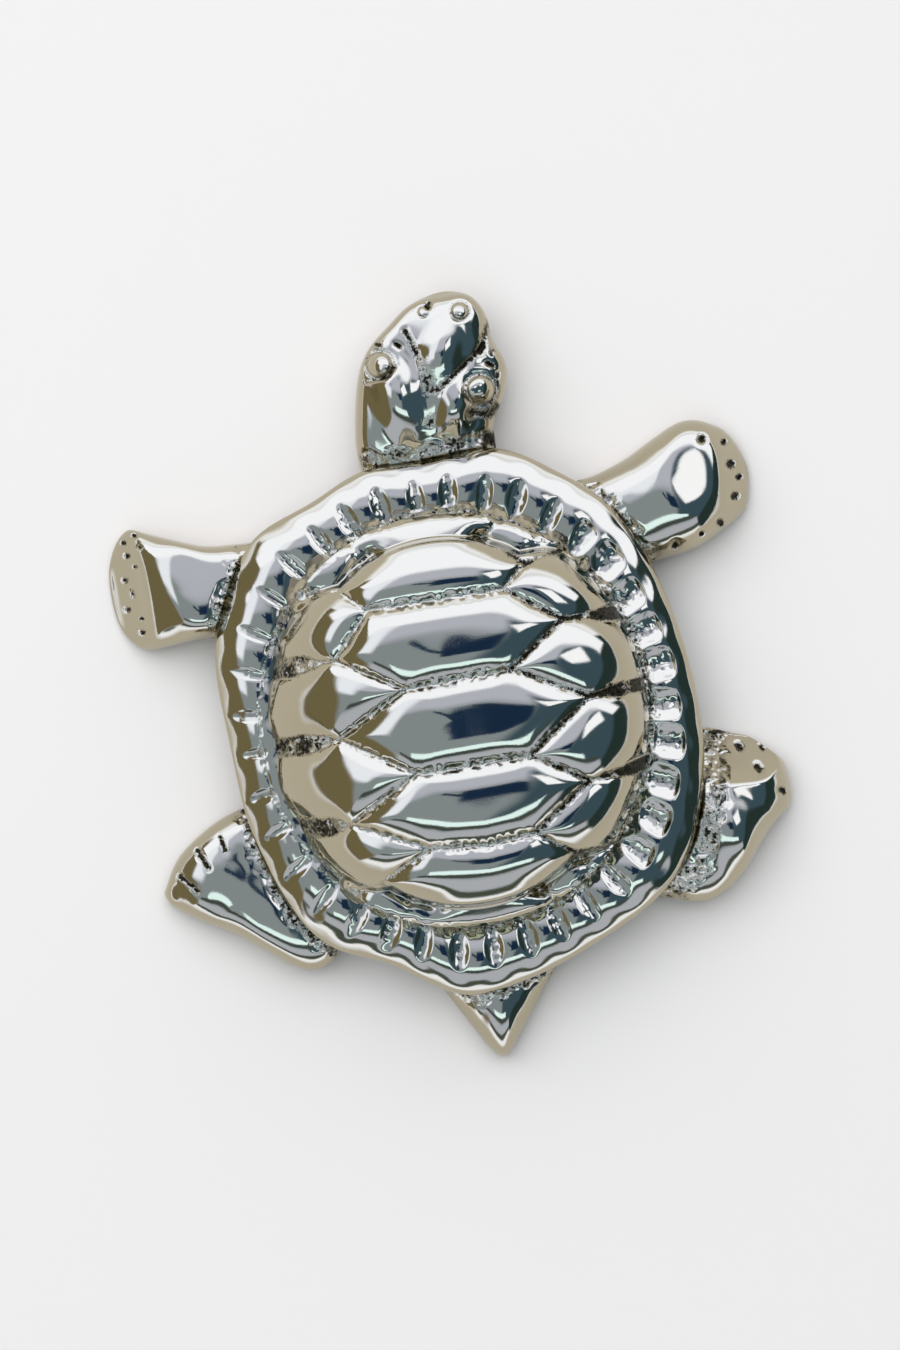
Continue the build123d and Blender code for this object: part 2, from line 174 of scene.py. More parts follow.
def curve_through(points: Array, at: Array, closed: bool = False) -> Array:
    """Cubic spline through points, with knots spaced by the distance between them.

    Args:
        points: one row for each point.
        at: places from 0 at the first point to 1 at the last, or at the first again if closed.
        closed: whether the curve returns to its first point.

    Returns:
        One row for each place.
    """
    if closed:
        points = np.vstack((points, points[:1]))
    steps = np.linalg.norm(np.diff(points, axis=0), axis=1)
    knots = np.concatenate(([0.0], np.cumsum(steps)))
    at = np.asarray(at) * knots[-1]
    slopes = np.diff(points, axis=0) / steps[:, None]
    count = len(points)
    system = np.eye(count)
    right = np.zeros_like(points)
    for i in range(1, count - 1):
        system[i, i - 1 : i + 2] = steps[i - 1], 2.0 * (steps[i - 1] + steps[i]), steps[i]
        right[i] = 6.0 * (slopes[i] - slopes[i - 1])
    if closed:
        system[0] = 0.0
        system[0, [0, 1, -2]] = 2.0 * (steps[0] + steps[-1]), steps[0], steps[-1]
        right[0] = 6.0 * (slopes[0] - slopes[-1])
        system[-1, [0, -1]] = -1.0, 1.0
    bend = np.linalg.solve(system, right)
    i = np.clip(np.searchsorted(knots, at, side="right") - 1, 0, count - 2)
    width = steps[i][:, None]
    b = ((at - knots[i]) / steps[i])[:, None]
    a = 1.0 - b
    cubic = (a**3 - a) * bend[i] + (b**3 - b) * bend[i + 1]
    return a * points[i] + b * points[i + 1] + cubic * width**2 / 6.0


def line_distance(x: Array, y: Array, points: Sequence[Pair]) -> Array:
    """Distance in plan from a line of straight stretches.

    Args:
        x: plan coordinate.
        y: plan coordinate.
        points: the line's corners.

    Returns:
        The distance for each point.
    """
    nearest = np.full(np.shape(x), FAR)
    for (x0, y0), (x1, y1) in zip(points, points[1:]):
        run_x, run_y = x1 - x0, y1 - y0
        share = np.clip(((x - x0) * run_x + (y - y0) * run_y) / (run_x**2 + run_y**2), 0.0, 1.0)
        nearest = np.minimum(nearest, np.hypot(x - x0 - share * run_x, y - y0 - share * run_y))
    return nearest


# Meshes


def in_scene(name: str, data: Any) -> Object:
    """Object that shows some data, linked to the scene.

    Args:
        name: the object's name.
        data: its mesh, camera or lamp.

    Returns:
        The linked object.
    """
    made = bpy.data.objects.new(name, data)
    bpy.context.scene.collection.objects.link(made)
    return made


def grid_object(
    name: str, grid: Array, attributes: dict[str, Array], caps: tuple[bool, bool], looped: bool = False
) -> Object:
    """Closed tube-like mesh from a grid whose columns go once round, with a pole at each capped end.

    Args:
        name: the piece's name.
        grid: rows by columns by 3, in millimetres.
        attributes: values for each grid point, by attribute name.
        caps: whether the first and the last row close on a pole.
        looped: whether the last row joins the first.

    Returns:
        The linked object.
    """
    rows, columns = grid.shape[:2]
    poles = [grid[row].mean(axis=0) for row, wanted in zip((0, -1), caps) if wanted]
    points = np.vstack((grid.reshape(-1, 3), *poles))
    row = np.arange(rows if looped else rows - 1)[:, None] * columns
    onto = (row + columns) % (rows * columns)
    here = np.arange(columns)
    after = (here + 1) % columns
    quads = np.stack((row + here, onto + here, onto + after, row + after), axis=-1).reshape(-1, 4)
    fans = [np.zeros((0, 3), int)]
    pole = rows * columns
    if caps[0]:
        fans.append(np.stack((here, after, np.full(columns, pole)), axis=-1))
        pole += 1
    if caps[1]:
        last = (rows - 1) * columns
        fans.append(np.stack((last + after, last + here, np.full(columns, pole)), axis=-1))
    triangles = np.vstack(fans)
    mesh = bpy.data.meshes.new(name)
    mesh.vertices.add(len(points))
    mesh.vertices.foreach_set("co", (points * MM).ravel())
    loops = np.concatenate((quads.ravel(), triangles.ravel()))
    mesh.loops.add(len(loops))
    mesh.loops.foreach_set("vertex_index", loops.astype(np.int32))
    starts = np.concatenate((np.arange(len(quads)) * 4, len(quads) * 4 + np.arange(len(triangles)) * 3))
    mesh.polygons.add(len(starts))
    mesh.polygons.foreach_set("loop_start", starts.astype(np.int32))
    mesh.update(calc_edges=True)
    mesh.validate()
    mesh.polygons.foreach_set("use_smooth", np.ones(len(mesh.polygons), bool))
    for key, values in attributes.items():
        flat = values.reshape(-1)
        ends = [values[r].mean() for r, wanted in zip((0, -1), caps) if wanted]
        layer = mesh.attributes.new(key, "FLOAT", "POINT")
        layer.data.foreach_set("value", np.concatenate((flat, ends)).astype(np.float32))
    return in_scene(name, mesh)


def dress(piece: Object, node: str, material: Material) -> None:
    """Gives a piece its finish and its body, hides the node that it stands for, and reports it.

    Args:
        piece: the finished mesh's object.
        node: the solid that it replaces.
        material: its finish.
    """
    piece.data.materials.append(material)
    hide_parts(node)
    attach(piece, "root")
    LOG.info("%s: %d faces", piece.name, len(piece.data.polygons))


# Shader maths


class Operation(Enum):
    """What a Math node does with its inputs."""

    SUM = "ADD"
    DIFFERENCE = "SUBTRACT"
    PRODUCT = "MULTIPLY"
    QUOTIENT = "DIVIDE"
    POWER = "POWER"
    LARGER = "MAXIMUM"


class Value:
    """A shader socket that takes part in Python sums; each operator adds its Math node."""

    def __init__(self, graph: "Graph", socket: Any) -> None:
        """Wraps a socket of a graph."""
        self.graph = graph
        self.socket = socket

    def _math(self, operation: Operation, *inputs: Any) -> "Value":
        """Adds a Math node.

        Args:
            operation: the node's operation.
            inputs: sockets or numbers.

        Returns:
            The node's result.
        """
        return self.graph.node("ShaderNodeMath", {"operation": operation.value}, dict(enumerate(inputs)))

    def __add__(self, other: Any) -> "Value":
        """Sum."""
        return self._math(Operation.SUM, self, other)

    __radd__ = __add__

    def __sub__(self, other: Any) -> "Value":
        """Difference."""
        return self._math(Operation.DIFFERENCE, self, other)

    def __rsub__(self, other: Any) -> "Value":
        """Difference from a number."""
        return self._math(Operation.DIFFERENCE, other, self)

    def __mul__(self, other: Any) -> "Value":
        """Product."""
        return self._math(Operation.PRODUCT, self, other)

    __rmul__ = __mul__

    def __truediv__(self, other: Any) -> "Value":
        """Quotient."""
        return self._math(Operation.QUOTIENT, self, other)

    def __pow__(self, other: Any) -> "Value":
        """Power."""
        return self._math(Operation.POWER, self, other)

    def over(self, low: float, high: float) -> "Value":
        """Smooth rise from 0 at low to 1 at high.

        Args:
            low: value that gives 0.
            high: value that gives 1.

        Returns:
            The shaped value.
        """
        settings = {"interpolation_type": "SMOOTHSTEP"}
        return self.graph.node("ShaderNodeMapRange", settings, {0: self, 1: low, 2: high, 3: 0.0, 4: 1.0})

    def larger(self, other: Any) -> "Value":
        """Larger of two values."""
        return self._math(Operation.LARGER, self, other)


class Graph:
    """Node tree of a material or a world, with one method that adds any node."""

    def __init__(self, owner: Any) -> None:
        """Empties the owner's node tree.

        Args:
            owner: the material or world whose nodes are built.
        """
        owner.use_nodes = True
        self.tree = owner.node_tree
        self.tree.nodes.clear()

    def node(self, kind: str, settings: dict[str, Any], inputs: dict[Any, Any], output: Any = 0) -> Value:
        """Adds a node, sets it up and feeds its sockets.

        Args:
            kind: the node's type.
            settings: properties to set first.
            inputs: values or links by socket name or number.
            output: name or number of the socket to return.

        Returns:
            The chosen output.
        """
        made = self.tree.nodes.new(kind)
        for key, value in settings.items():
            setattr(made, key, value)
        for key, value in inputs.items():
            if isinstance(value, Value):
                self.tree.links.new(value.socket, made.inputs[key])
            else:
                made.inputs[key].default_value = value
        return Value(self, made.outputs[output]) if len(made.outputs) else Value(self, None)

    def mix(self, share: Any, low: Any, high: Any) -> Value:
        """Colour mix.

        Args:
            share: 0 for low, 1 for high.
            low: colour or link.
            high: colour or link.

        Returns:
            The mixed colour.
        """
        # A colour mix has its two ends on inputs 6 and 7 and its result on output 2
        first, second = (end if isinstance(end, Value) else (*end, 1.0) for end in (low, high))
        return self.node("ShaderNodeMix", {"data_type": "RGBA"}, {0: share, 6: first, 7: second}, 2)

    def noise(self, where: Value, kind: Triple) -> Value:
        """Noise texture about 0.5.

        Args:
            where: coordinates.
            kind: cells to a metre, octaves and the strength of each finer octave.

        Returns:
            The noise value.
        """
        inputs = {"Vector": where, "Scale": kind[0], "Detail": kind[1], "Roughness": kind[2]}
        return self.node("ShaderNodeTexNoise", {}, inputs, "Fac")

    def attribute(self, name: str) -> Value:
        """Value that the mesh carries under a name."""
        return self.node("ShaderNodeAttribute", {"attribute_name": name}, {}, "Fac")

    def object_place(self) -> Value:
        """Object coordinates."""
        return self.node("ShaderNodeTexCoord", {}, {}, "Object")

    def bump(self, height: Value, relief: Pair) -> Value:
        """Bump normal from a height.

        Args:
            height: 0 to 1 height.
            relief: metres that a height of 1 stands for, and share of the effect.

        Returns:
            The normal.
        """
        inputs = {"Strength": relief[1], "Distance": relief[0], "Height": height}
        return self.node("ShaderNodeBump", {}, inputs, "Normal")

    def surface(self, constants: dict[str, Any], linked: dict[str, Value]) -> None:
        """Ends the tree in one Principled surface.

        Args:
            constants: numbers and colours set on its sockets.
            linked: values that vary over the surface.
        """
        shader = self.node("ShaderNodeBsdfPrincipled", {}, {**constants, **linked}, "BSDF")
        self.node("ShaderNodeOutputMaterial", {}, {"Surface": shader})


# Finishes


@dataclass(frozen=True)
class Finish:
    """A material made from a finish's own colours and numbers.

    A noise is cells to a metre, octaves and the strength of each finer octave. A matt pair is the roughness
    and what noise adds to it, and a relief is metres of bump and its share.
    """

    name: str = "finish"

    def material(self) -> Material:
        """Builds the material.

        Returns:
            The finished material.
        """
        made = bpy.data.materials.new(self.name)
        self.dress(Graph(made))
        return made

    def dress(self, graph: Graph) -> None:
        """Fills the material's empty node tree; each finish has its own."""
        raise NotImplementedError


@dataclass(frozen=True)
class PolishedCasting(Finish):
    """Mirror-polished cast metal with a painted reflection on steep faces, a warm tint for the pale table
    mirrored there; dark and grainy where the polish can't reach.
    """

    name: str = "polished_casting"
    silver: Triple = (0.90, 0.905, 0.895)
    # Painted reflection: the warm tone of steep faces stands in for the pale table mirrored in them
    painted_table_reflection: Triple = (0.455, 0.405, 0.290)
    soot: Triple = (0.018, 0.020, 0.018)
    umber: Triple = (0.10, 0.085, 0.055)
    # Upright part of the normal at which the painted table reflection starts and at which it is full
    steep: Pair = (0.745, 0.675)
    wander: Triple = (260.0, 3.0, 0.5)
    grain: Triple = (2600.0, 3.0, 0.6)
    specks: Triple = (2300.0, 2.0, 0.6)
    haze: Triple = (90.0, 4.0, 0.5)
    fine: Triple = (5200.0, 2.0, 0.5)
    # How far noise moves the painted reflection's edge and the dirt's, and how high the fine noise stands
    wander_reach: float = 0.04
    speck_reach: float = 1.8
    fine_height: float = 0.012
    # Patina over which dirt sets in, with specks and without, and over which the metal turns matt and rough
    dirt_from: Pair = (0.42, 0.62)
    dirt_least: Pair = (0.04, 0.16)
    matt_from: Pair = (0.1, 0.9)
    relief_from: Pair = (0.02, 0.5)
    # Grain over which the soot turns to umber
    umber_from: Pair = (0.35, 0.7)
    matt: Pair = (0.045, 0.05)
    matt_dirt: float = 0.55
    relief: Pair = (0.00028, 0.8)

    def dress(self, graph: Graph) -> None:
        """Fills the node tree: steepness brings the painted reflection of the table, and the patina brings
        dirt, matt and relief.

        Args:
            graph: the material's empty node tree.
        """
        place = graph.object_place()
        patina = graph.attribute("patina")
        normal = graph.node("ShaderNodeNewGeometry", {}, {}, "Normal")
        upward = graph.node("ShaderNodeSeparateXYZ", {}, {0: normal}, "Z")
        wander = graph.noise(place, self.wander)
        # Painted reflection: the steeper the face, the more of the table's warm tint goes into its base
        # colour
        steep = (upward + (wander - 0.5) * self.wander_reach).over(*self.steep)
        grain = graph.noise(place, self.grain)
        speck = graph.noise(place, self.specks)
        speckled = patina + (speck - 0.5) * self.speck_reach
        dirt = speckled.over(*self.dirt_from) * patina.over(*self.dirt_least)
        metal = graph.mix(steep, self.silver, self.painted_table_reflection)
        dark = graph.mix(grain.over(*self.umber_from), self.soot, self.umber)
        colour = graph.mix(dirt, metal, dark)
        polish, haze_matt = self.matt
        haze = graph.noise(place, self.haze)
        rough = polish + haze * haze_matt + patina.over(*self.matt_from) * (self.matt_dirt - polish)
        fine = graph.noise(place, self.fine)
        height = grain * patina.over(*self.relief_from) + fine * self.fine_height
        linked = {"Base Color": colour, "Roughness": rough, "Normal": graph.bump(height, self.relief)}
        graph.surface({"Metallic": 1.0, "Specular IOR Level": 0.5}, linked)


@dataclass(frozen=True)
class SatinCasting(Finish):
    """As-cast metal of the belly plate, satin with a fine sand texture."""

    name: str = "satin_casting"
    metal: Triple = (0.42, 0.41, 0.385)
    shade: Triple = (0.16, 0.155, 0.14)
    sand: Triple = (2200.0, 3.0, 0.6)
    cloud: Triple = (160.0, 4.0, 0.5)
    shade_from: Pair = (0.4, 0.8)
    matt: Pair = (0.30, 0.25)
    relief: Pair = (0.00012, 0.6)

    def dress(self, graph: Graph) -> None:
        """Fills the node tree: broad clouds of shade, and sand in the gloss and the relief.

        Args:
            graph: the material's empty node tree.
        """
        place = graph.object_place()
        sand = graph.noise(place, self.sand)
        cloud = graph.noise(place, self.cloud)
        colour = graph.mix(cloud.over(*self.shade_from), self.metal, self.shade)
        rough = self.matt[0] + sand * self.matt[1]
        linked = {"Base Color": colour, "Roughness": rough, "Normal": graph.bump(sand, self.relief)}
        graph.surface({"Metallic": 1.0}, linked)


@dataclass(frozen=True)
class PlatedSteel(Finish):
    """Zinc-plated screw steel with turning marks."""

    name: str = "plated_steel"
    bright: Triple = (0.62, 0.62, 0.61)
    dull: Triple = (0.40, 0.41, 0.42)
    marks: Triple = (3000.0, 2.0, 0.5)
    matt: Pair = (0.22, 0.2)

    def dress(self, graph: Graph) -> None:
        """Fills the node tree: fine marks in the colour and the gloss.

        Args:
            graph: the material's empty node tree.
        """
        marks = graph.noise(graph.object_place(), self.marks)
        colour = graph.mix(marks, self.bright, self.dull)
        rough = self.matt[0] + marks * self.matt[1]
        graph.surface({"Metallic": 1.0}, {"Base Color": colour, "Roughness": rough})


@dataclass(frozen=True)
class Felt(Finish):
    """Dark wool felt with a matted fibre texture."""

    name: str = "felt"
    wool: Triple = (0.030, 0.034, 0.034)
    fuzz: Triple = (0.085, 0.090, 0.088)
    fibre: Triple = (1800.0, 6.0, 0.7)
    clump: Triple = (420.0, 4.0, 0.5)
    # How much of the colour's noise is fibre and how much is clumps
    fuzz_shares: Pair = (0.7, 0.3)
    matt: Pair = (0.82, 0.15)
    relief: Pair = (0.0003, 0.8)

    def dress(self, graph: Graph) -> None:
        """Fills the node tree: fibres and clumps in the colour, fibres in the relief.

        Args:
            graph: the material's empty node tree.
        """
        place = graph.object_place()
        fibre = graph.noise(place, self.fibre)
        clump = graph.noise(place, self.clump)
        colour = graph.mix(fibre * self.fuzz_shares[0] + clump * self.fuzz_shares[1], self.wool, self.fuzz)
        rough = self.matt[0] + clump * self.matt[1]
        linked = {"Base Color": colour, "Roughness": rough, "Normal": graph.bump(fibre, self.relief)}
        graph.surface({"Sheen Weight": 0.35, "Sheen Roughness": 0.6}, linked)


@dataclass(frozen=True)
class PaleTable(Finish):
    """Pale matt tabletop."""

    name: str = "pale_table"
    tone: Triple = (0.900, 0.878, 0.872)
    cloud_tone: Triple = (0.8, 0.8, 0.8)
    cloud: Triple = (3.0, 2.0, 0.5)
    cloud_share: float = 0.02

    def dress(self, graph: Graph) -> None:
        """Fills the node tree: a faint cloud in the tone.

        Args:
            graph: the material's empty node tree.
        """
        cloud = graph.noise(graph.object_place(), self.cloud)
        colour = graph.mix(cloud * self.cloud_share, self.tone, self.cloud_tone)
        graph.surface({"Roughness": 0.9, "Specular IOR Level": 0.2}, {"Base Color": colour})


# The casting's forms

SHELL_OUTLINE_SHARES = np.array([
    (0.00, -1.00), (-0.31, -1.00), (-0.54, -0.88), (-0.71, -0.75), (-0.83, -0.57),
    (-0.91, -0.35), (-0.96, -0.06), (-0.965, 0.16), (-0.90, 0.47), (-0.79, 0.66),
    (-0.54, 0.83), (-0.36, 0.90), (-0.18, 0.96), (0.00, 1.00), (0.20, 1.01),
    (0.36, 0.94), (0.54, 0.83), (0.71, 0.76), (0.81, 0.68), (0.92, 0.50),
    (1.00, 0.22), (1.02, -0.12), (1.00, -0.47), (0.90, -0.66), (0.775, -0.815),
    (0.50, -0.92), (0.275, -1.00),
])
# Grooves between the scutes, as plan points in millimetres
LEFT_ZIGZAG = (
    (8.0, -21.5), (12.6, -17.8), (9.6, -15.0), (14.3, -9.9), (6.8, -5.2), (15.4, -0.8), (7.2, 4.7),
    (15.8, 9.2), (7.0, 13.5), (13.8, 16.6), (8.3, 20.2),
)
RIGHT_ZIGZAG = (
    (-4.8, -21.5), (-9.4, -17.2), (-6.4, -14.7), (-12.6, -10.1), (-5.8, -5.4), (-14.1, -0.7), (-6.2, 4.9),
    (-12.5, 8.9), (-5.2, 13.8), (-9.6, 17.0), (-4.8, 20.6),
)
SPINE_GROOVES = (
    ((9.6, -15.0), (-6.4, -14.7)), ((6.8, -5.2), (-5.8, -5.4)), ((7.2, 4.7), (-6.2, 4.9)),
    ((7.0, 13.5), (0.5, 14.2), (-5.2, 13.8)),
)
FLANK_GROOVES = (
    ((12.6, -17.8), (21.5, -18.6)), ((14.3, -9.9), (25.5, -10.4)), ((15.4, -0.8), (26.5, -1.0)),
    ((15.8, 9.2), (24.5, 8.7)), ((13.8, 16.6), (21.0, 18.4)), ((-9.4, -17.2), (-17.5, -18.9)),
    ((-12.6, -10.1), (-22.5, -9.7)), ((-14.1, -0.7), (-23.5, -1.2)), ((-12.5, 8.9), (-22.5, 7.9)),
    ((-9.6, 17.0), (-17.5, 16.6)),
)


@dataclass(frozen=True)
class ShellPlan:
    """Outline of the shell and what other pieces need of it."""

    half_width: float = 28.0
    half_length: float = 31.5
    plate_inset: float = 2.2
    rim_bottom: float = 7.0
    rim_top: float = 10.4
    middle: Pair = (1.7, -0.6)
    outline_steps: int = 1440

    def radius(self, angle: Array, inset: float = 0.0) -> Array:
        """Distance from the dome's middle to the outline.

        The outline is a closed spline through given shares of the half sizes; its points are turned into
        angle and radius about the middle, and read between by angle.

        Args:
            angle: directions in plan, in radians.
            inset: how far the half sizes are drawn in.

        Returns:
            The radius for each direction.
        """
        size = np.array([self.half_width - inset, self.half_length - inset])
        at = np.linspace(0.0, 1.0, self.outline_steps, endpoint=False)
        line = curve_through(SHELL_OUTLINE_SHARES * size, at, closed=True)
        line = line - np.array(self.middle)
        angles = np.arctan2(line[:, 1], line[:, 0])
        order = np.argsort(angles)
        return np.interp(angle, angles[order], np.hypot(*line.T)[order], period=FULL_TURN)

    def beyond(self, x: Array, y: Array, inset: float = 0.0) -> Array:
        """Radial distance outside the outline, negative inside.

        Args:
            x: plan coordinate.
            y: plan coordinate.
            inset: how far the outline is drawn in.

        Returns:
            The distance for each point.
        """
        dx, dy = x - self.middle[0], y - self.middle[1]
        return np.hypot(dx, dy) - self.radius(np.arctan2(dy, dx), inset)

    def points(self, angle: Array, radius: Array, z: Any) -> Array:
        """Points from angle and radius about the dome's middle, and height.

        Args:
            angle: directions in plan, in radians.
            radius: distances from the middle.
            z: heights.

        Returns:
            Grid of points.
        """
        x = self.middle[0] + radius * np.cos(angle)
        y = self.middle[1] + radius * np.sin(angle)
        return np.stack(np.broadcast_arrays(x, y, z), axis=-1)


SHELL = ShellPlan()


@dataclass(frozen=True)
class CrownEnd:
    """Front or rear end of the crown, past which the dome falls to the level of its ledges."""

    x: float
    y: float
    half_width: float
    half_length: float
    start: float
    fade: float = 1.5

    def past(self, x: Array, y: Array) -> Array:
        """Share from 0 on the crown to 1 past its end, where a point is outside an ellipse and past a line.

        Args:
            x: plan coordinate.
            y: plan coordinate.

        Returns:
            The share for each point.
        """
        reach = np.hypot((x - self.x) / self.half_width, (y - self.y) / self.half_length) - 1.0
        beyond = np.minimum(reach * self.half_length, y * np.sign(self.y) - self.start)
        return smoothstep(0.0, self.fade, beyond)


CROWN_ENDS = (CrownEnd(1.7, -13.0, 12.7, 8.5, 18.0), CrownEnd(1.7, 12.0, 12.7, 8.6, 16.9))


@dataclass(frozen=True)
class Ledge:
    """Small scute at the dome's foot: a flat-topped swelling that leans outwards."""

    x: float
    y: float
    turn: float
    half_across: float
    half_out: float
    top: float
    lean: float = 0.40
    thick: float = 3.2
    cliff: float = 20.0

    def height(self, x: Array, y: Array) -> Array:
        """Its upper surface: top - thick * (1 - sqrt(1 - r^4)) less the lean, and far below where r passes 1.

        Args:
            x: plan coordinate.
            y: plan coordinate.

        Returns:
            The height for each point.
        """
        away, across = turned(x, y, (self.x, self.y), self.turn)
        spread = (across / self.half_across) ** 2 + (away / self.half_out) ** 2
        cap = np.sqrt(np.clip(1.0 - spread**2, 0.0, 1.0))
        top = self.top - self.lean * away - self.thick * (1.0 - cap)
        return top - self.cliff * np.maximum(spread - 1.0, 0.0)


LEDGES = (
    Ledge(2.0, -22.9, -90.0, 9.2, 2.5, 15.6),
    Ledge(9.4, -21.2, -68.0, 3.2, 2.2, 15.5),
    Ledge(13.9, -19.9, -55.0, 5.8, 2.7, 15.6),
    Ledge(-8.2, -20.7, -112.0, 4.2, 2.2, 14.6),
    Ledge(-13.0, -18.3, -130.0, 3.6, 2.0, 14.2),
    Ledge(2.0, 22.0, 90.0, 8.4, 2.0, 15.0),
    Ledge(9.0, 21.0, 70.0, 3.2, 2.1, 14.9),
    Ledge(13.8, 18.9, 55.0, 5.6, 2.3, 14.8),
    Ledge(-8.0, 20.0, 110.0, 3.8, 2.2, 14.6),
    Ledge(-12.9, 17.9, 125.0, 4.0, 2.0, 14.4),
)


@dataclass
class Carapace:
    """Domed shell: pillowed scutes with grooves between them, and a rim with short dents across it."""

    plan: ShellPlan = SHELL
    dome_half_width: float = 22.9
    dome_half_length: float = 24.4
    dome_rise: float = 16.5
    crown_power: Pair = (3.2, 2.0)
    flank_power: Pair = (3.7, 1.6)
    ledge_floor: float = 12.0
    ledge_blend: float = 0.3
    pillow_drop: float = 1.25
    pillow_reach: float = 3.7
    pillow_power: float = 2.2
    wall: float = 4.1
    # Where the flank grooves open into channels on each side, and half of a channel's width there
    channel_left: Pair = (14.5, 19.0)
    channel_right: Pair = (-14.0, -18.5)
    channel_half: Pair = (0.95, 0.55)
    # Depths and patinas are pairs: the plain part, and what grain, specks or the right side add; what the
    # right side adds to the grooves' patina is painted shade
    groove_cut: Pair = (0.17, 0.20)
    foot_cut: Pair = (0.10, 0.16)
    rim_foot_cut: Pair = (0.15, 0.18)
    groove_patina_and_shade: Pair = (0.25, 0.40)
    groove_specks: Pair = (0.6, 0.6)
    specks: Pair = (0.6, 0.8)
    channel_patina: Pair = (0.15, 0.30)
    rim_foot_patina: Pair = (0.12, 0.35)
    dent_patina: float = 0.15
    dent_pits: float = 0.07
    groove_half: Pair = (0.30, 0.06)
    spine_half: float = 0.55
    # Power that joins the grooves' distances, and the least distance that goes into it
    groove_join: float = 5.0
    groove_least: float = 0.02
    # How far outside the dome's ellipse its dark foot lies, its width, and how much cleaner the left side is
    foot_place: float = 0.2
    foot_width: float = 0.7
    left_cleaner: float = 0.4
    foot_patina: float = 0.08
    # Least share of the way out for which the distance from the foot is worked out
    least_out: float = 0.1
    swell_height: float = 0.06
    ripple_height: float = 0.02
    # Stretches over which a side or an end takes its own form, the first two on the rim
    rim_left: Pair = (14.0, 22.0)
    rim_right: Pair = (-14.0, -20.0)
    foot_left: Pair = (10.0, 17.0)
    channel_start: Pair = (14.0, 18.0)
    # Painted shade: over this stretch the grooves grow darker towards the turtle's right, the side that
    # mirrors the dark part of the room
    painted_shade_right: Pair = (-2.0, -8.0)
    clean_ends: Pair = (19.5, 18.0)
    # What the left side and the right side change on the rim and in its dents
    left_narrower: float = 0.32
    left_shallower: float = 0.14
    left_crest: float = 0.9
    left_flatter: float = 0.12
    left_smoother: float = 0.7
    right_wider: float = 0.85
    right_shallower: float = 0.08
    right_shorter: float = 0.2
    right_blunter: float = 3.0
    foot_half: Pair = (22.6, 24.1)
    rim_inner: float = 0.93
    rim_crest: float = 4.3
    rim_fall: float = 0.13
    rim_back: float = 0.45
    rim_lift: float = 0.15
    rim_swell: float = 0.16
    lip: float = 0.8
    lip_foot: float = 7.45
    dent_count: int = 37
    dent_ring: Pair = (24.9, 27.9)
    dent_ring_middle: Pair = (0.85, -0.6)
    dent_half_width: float = 1.15
    dent_half_length: float = 2.7
    dent_place: float = 0.54
    dent_most: float = 0.48
    dent_cut: float = 0.46
    dent_power: float = 2.0
    # How softly a dent's edge sets in, and what is taken off its depth for that
    dent_edge: Pair = (0.12, 0.02)
    # Distances inside the outline over which the swelling between dents sets in
    swell_from: Pair = (0.6, 2.0)
    # How far noise moves a dent outwards, widens it and moves it along the rim
    dent_wobble: Triple = (0.25, 0.12, 0.2)
    # How far out the dome's even rows reach, the width of the close rows beyond them, and how those crowd
    shoulder: float = 0.93
    shoulder_width: float = 0.07
    shoulder_start: float = 0.96
    shoulder_crowding: float = 1.5
    pole_gap: float = 0.004
    # Shares of the way out at which the rows of the rim's underside lie, and how high each is
    back_shares: tuple[float, ...] = (0.75, 0.5, 0.25, 0.0)
    back_lifts: tuple[float, ...] = (0.0, 0.0, 0.0, 0.3)
    lip_least: float = 0.1
    # Darkness of the rim's rounded lower edge
    rim_edge_darkening: float = 0.3
    hidden_patina: float = 0.4
    dome_columns: int = 640
    rim_columns: int = 1100
    dome_rows: int = 112
    shoulder_rows: int = 14
    wall_rows: int = 9
    hollow_rows: int = 22
    rim_rows: int = 66
    lip_rows: int = 13
    edge_rows: int = 6

    def sides(self, x: Array, y: Array) -> tuple[Array, Array]:
        """How far out on the dome's ellipse a point lies, and how much it faces the turtle's left.

        Args:
            x: plan coordinate.
            y: plan coordinate.

        Returns:
            Share of the way to the dome's foot, and a share from 0 to 1.
        """
        across = (x - self.plan.middle[0]) / self.dome_half_width
        along = (y - self.plan.middle[1]) / self.dome_half_length
        out = np.hypot(across, along)
        return out, (np.maximum(across, 0.0) / np.maximum(out, 1e-6)) ** 2

    def crown(self, x: Array, y: Array) -> Array:
        """Height of the dome without its grooves.

        The height is the rise times (1 - out^crown)^(1/flank), where out is the share of the way to the foot.
        Both powers fall towards the turtle's left, so that flank is the gentlest.

        Args:
            x: plan coordinate.
            y: plan coordinate.

        Returns:
            The height for each point.
        """
        out, left = self.sides(x, y)
        powers = (self.crown_power, self.flank_power)
        crown, flank = (power[0] + (power[1] - power[0]) * left for power in powers)
        height = self.plan.rim_bottom + self.dome_rise * np.clip(1.0 - out**crown, 0.0, 1.0) ** (1.0 / flank)
        for end in CROWN_ENDS:
            height = height - np.maximum(height - self.ledge_floor, 0.0) * end.past(x, y)
        for ledge in LEDGES:
            height = smooth_max(height, ledge.height(x, y), self.ledge_blend)
        return height

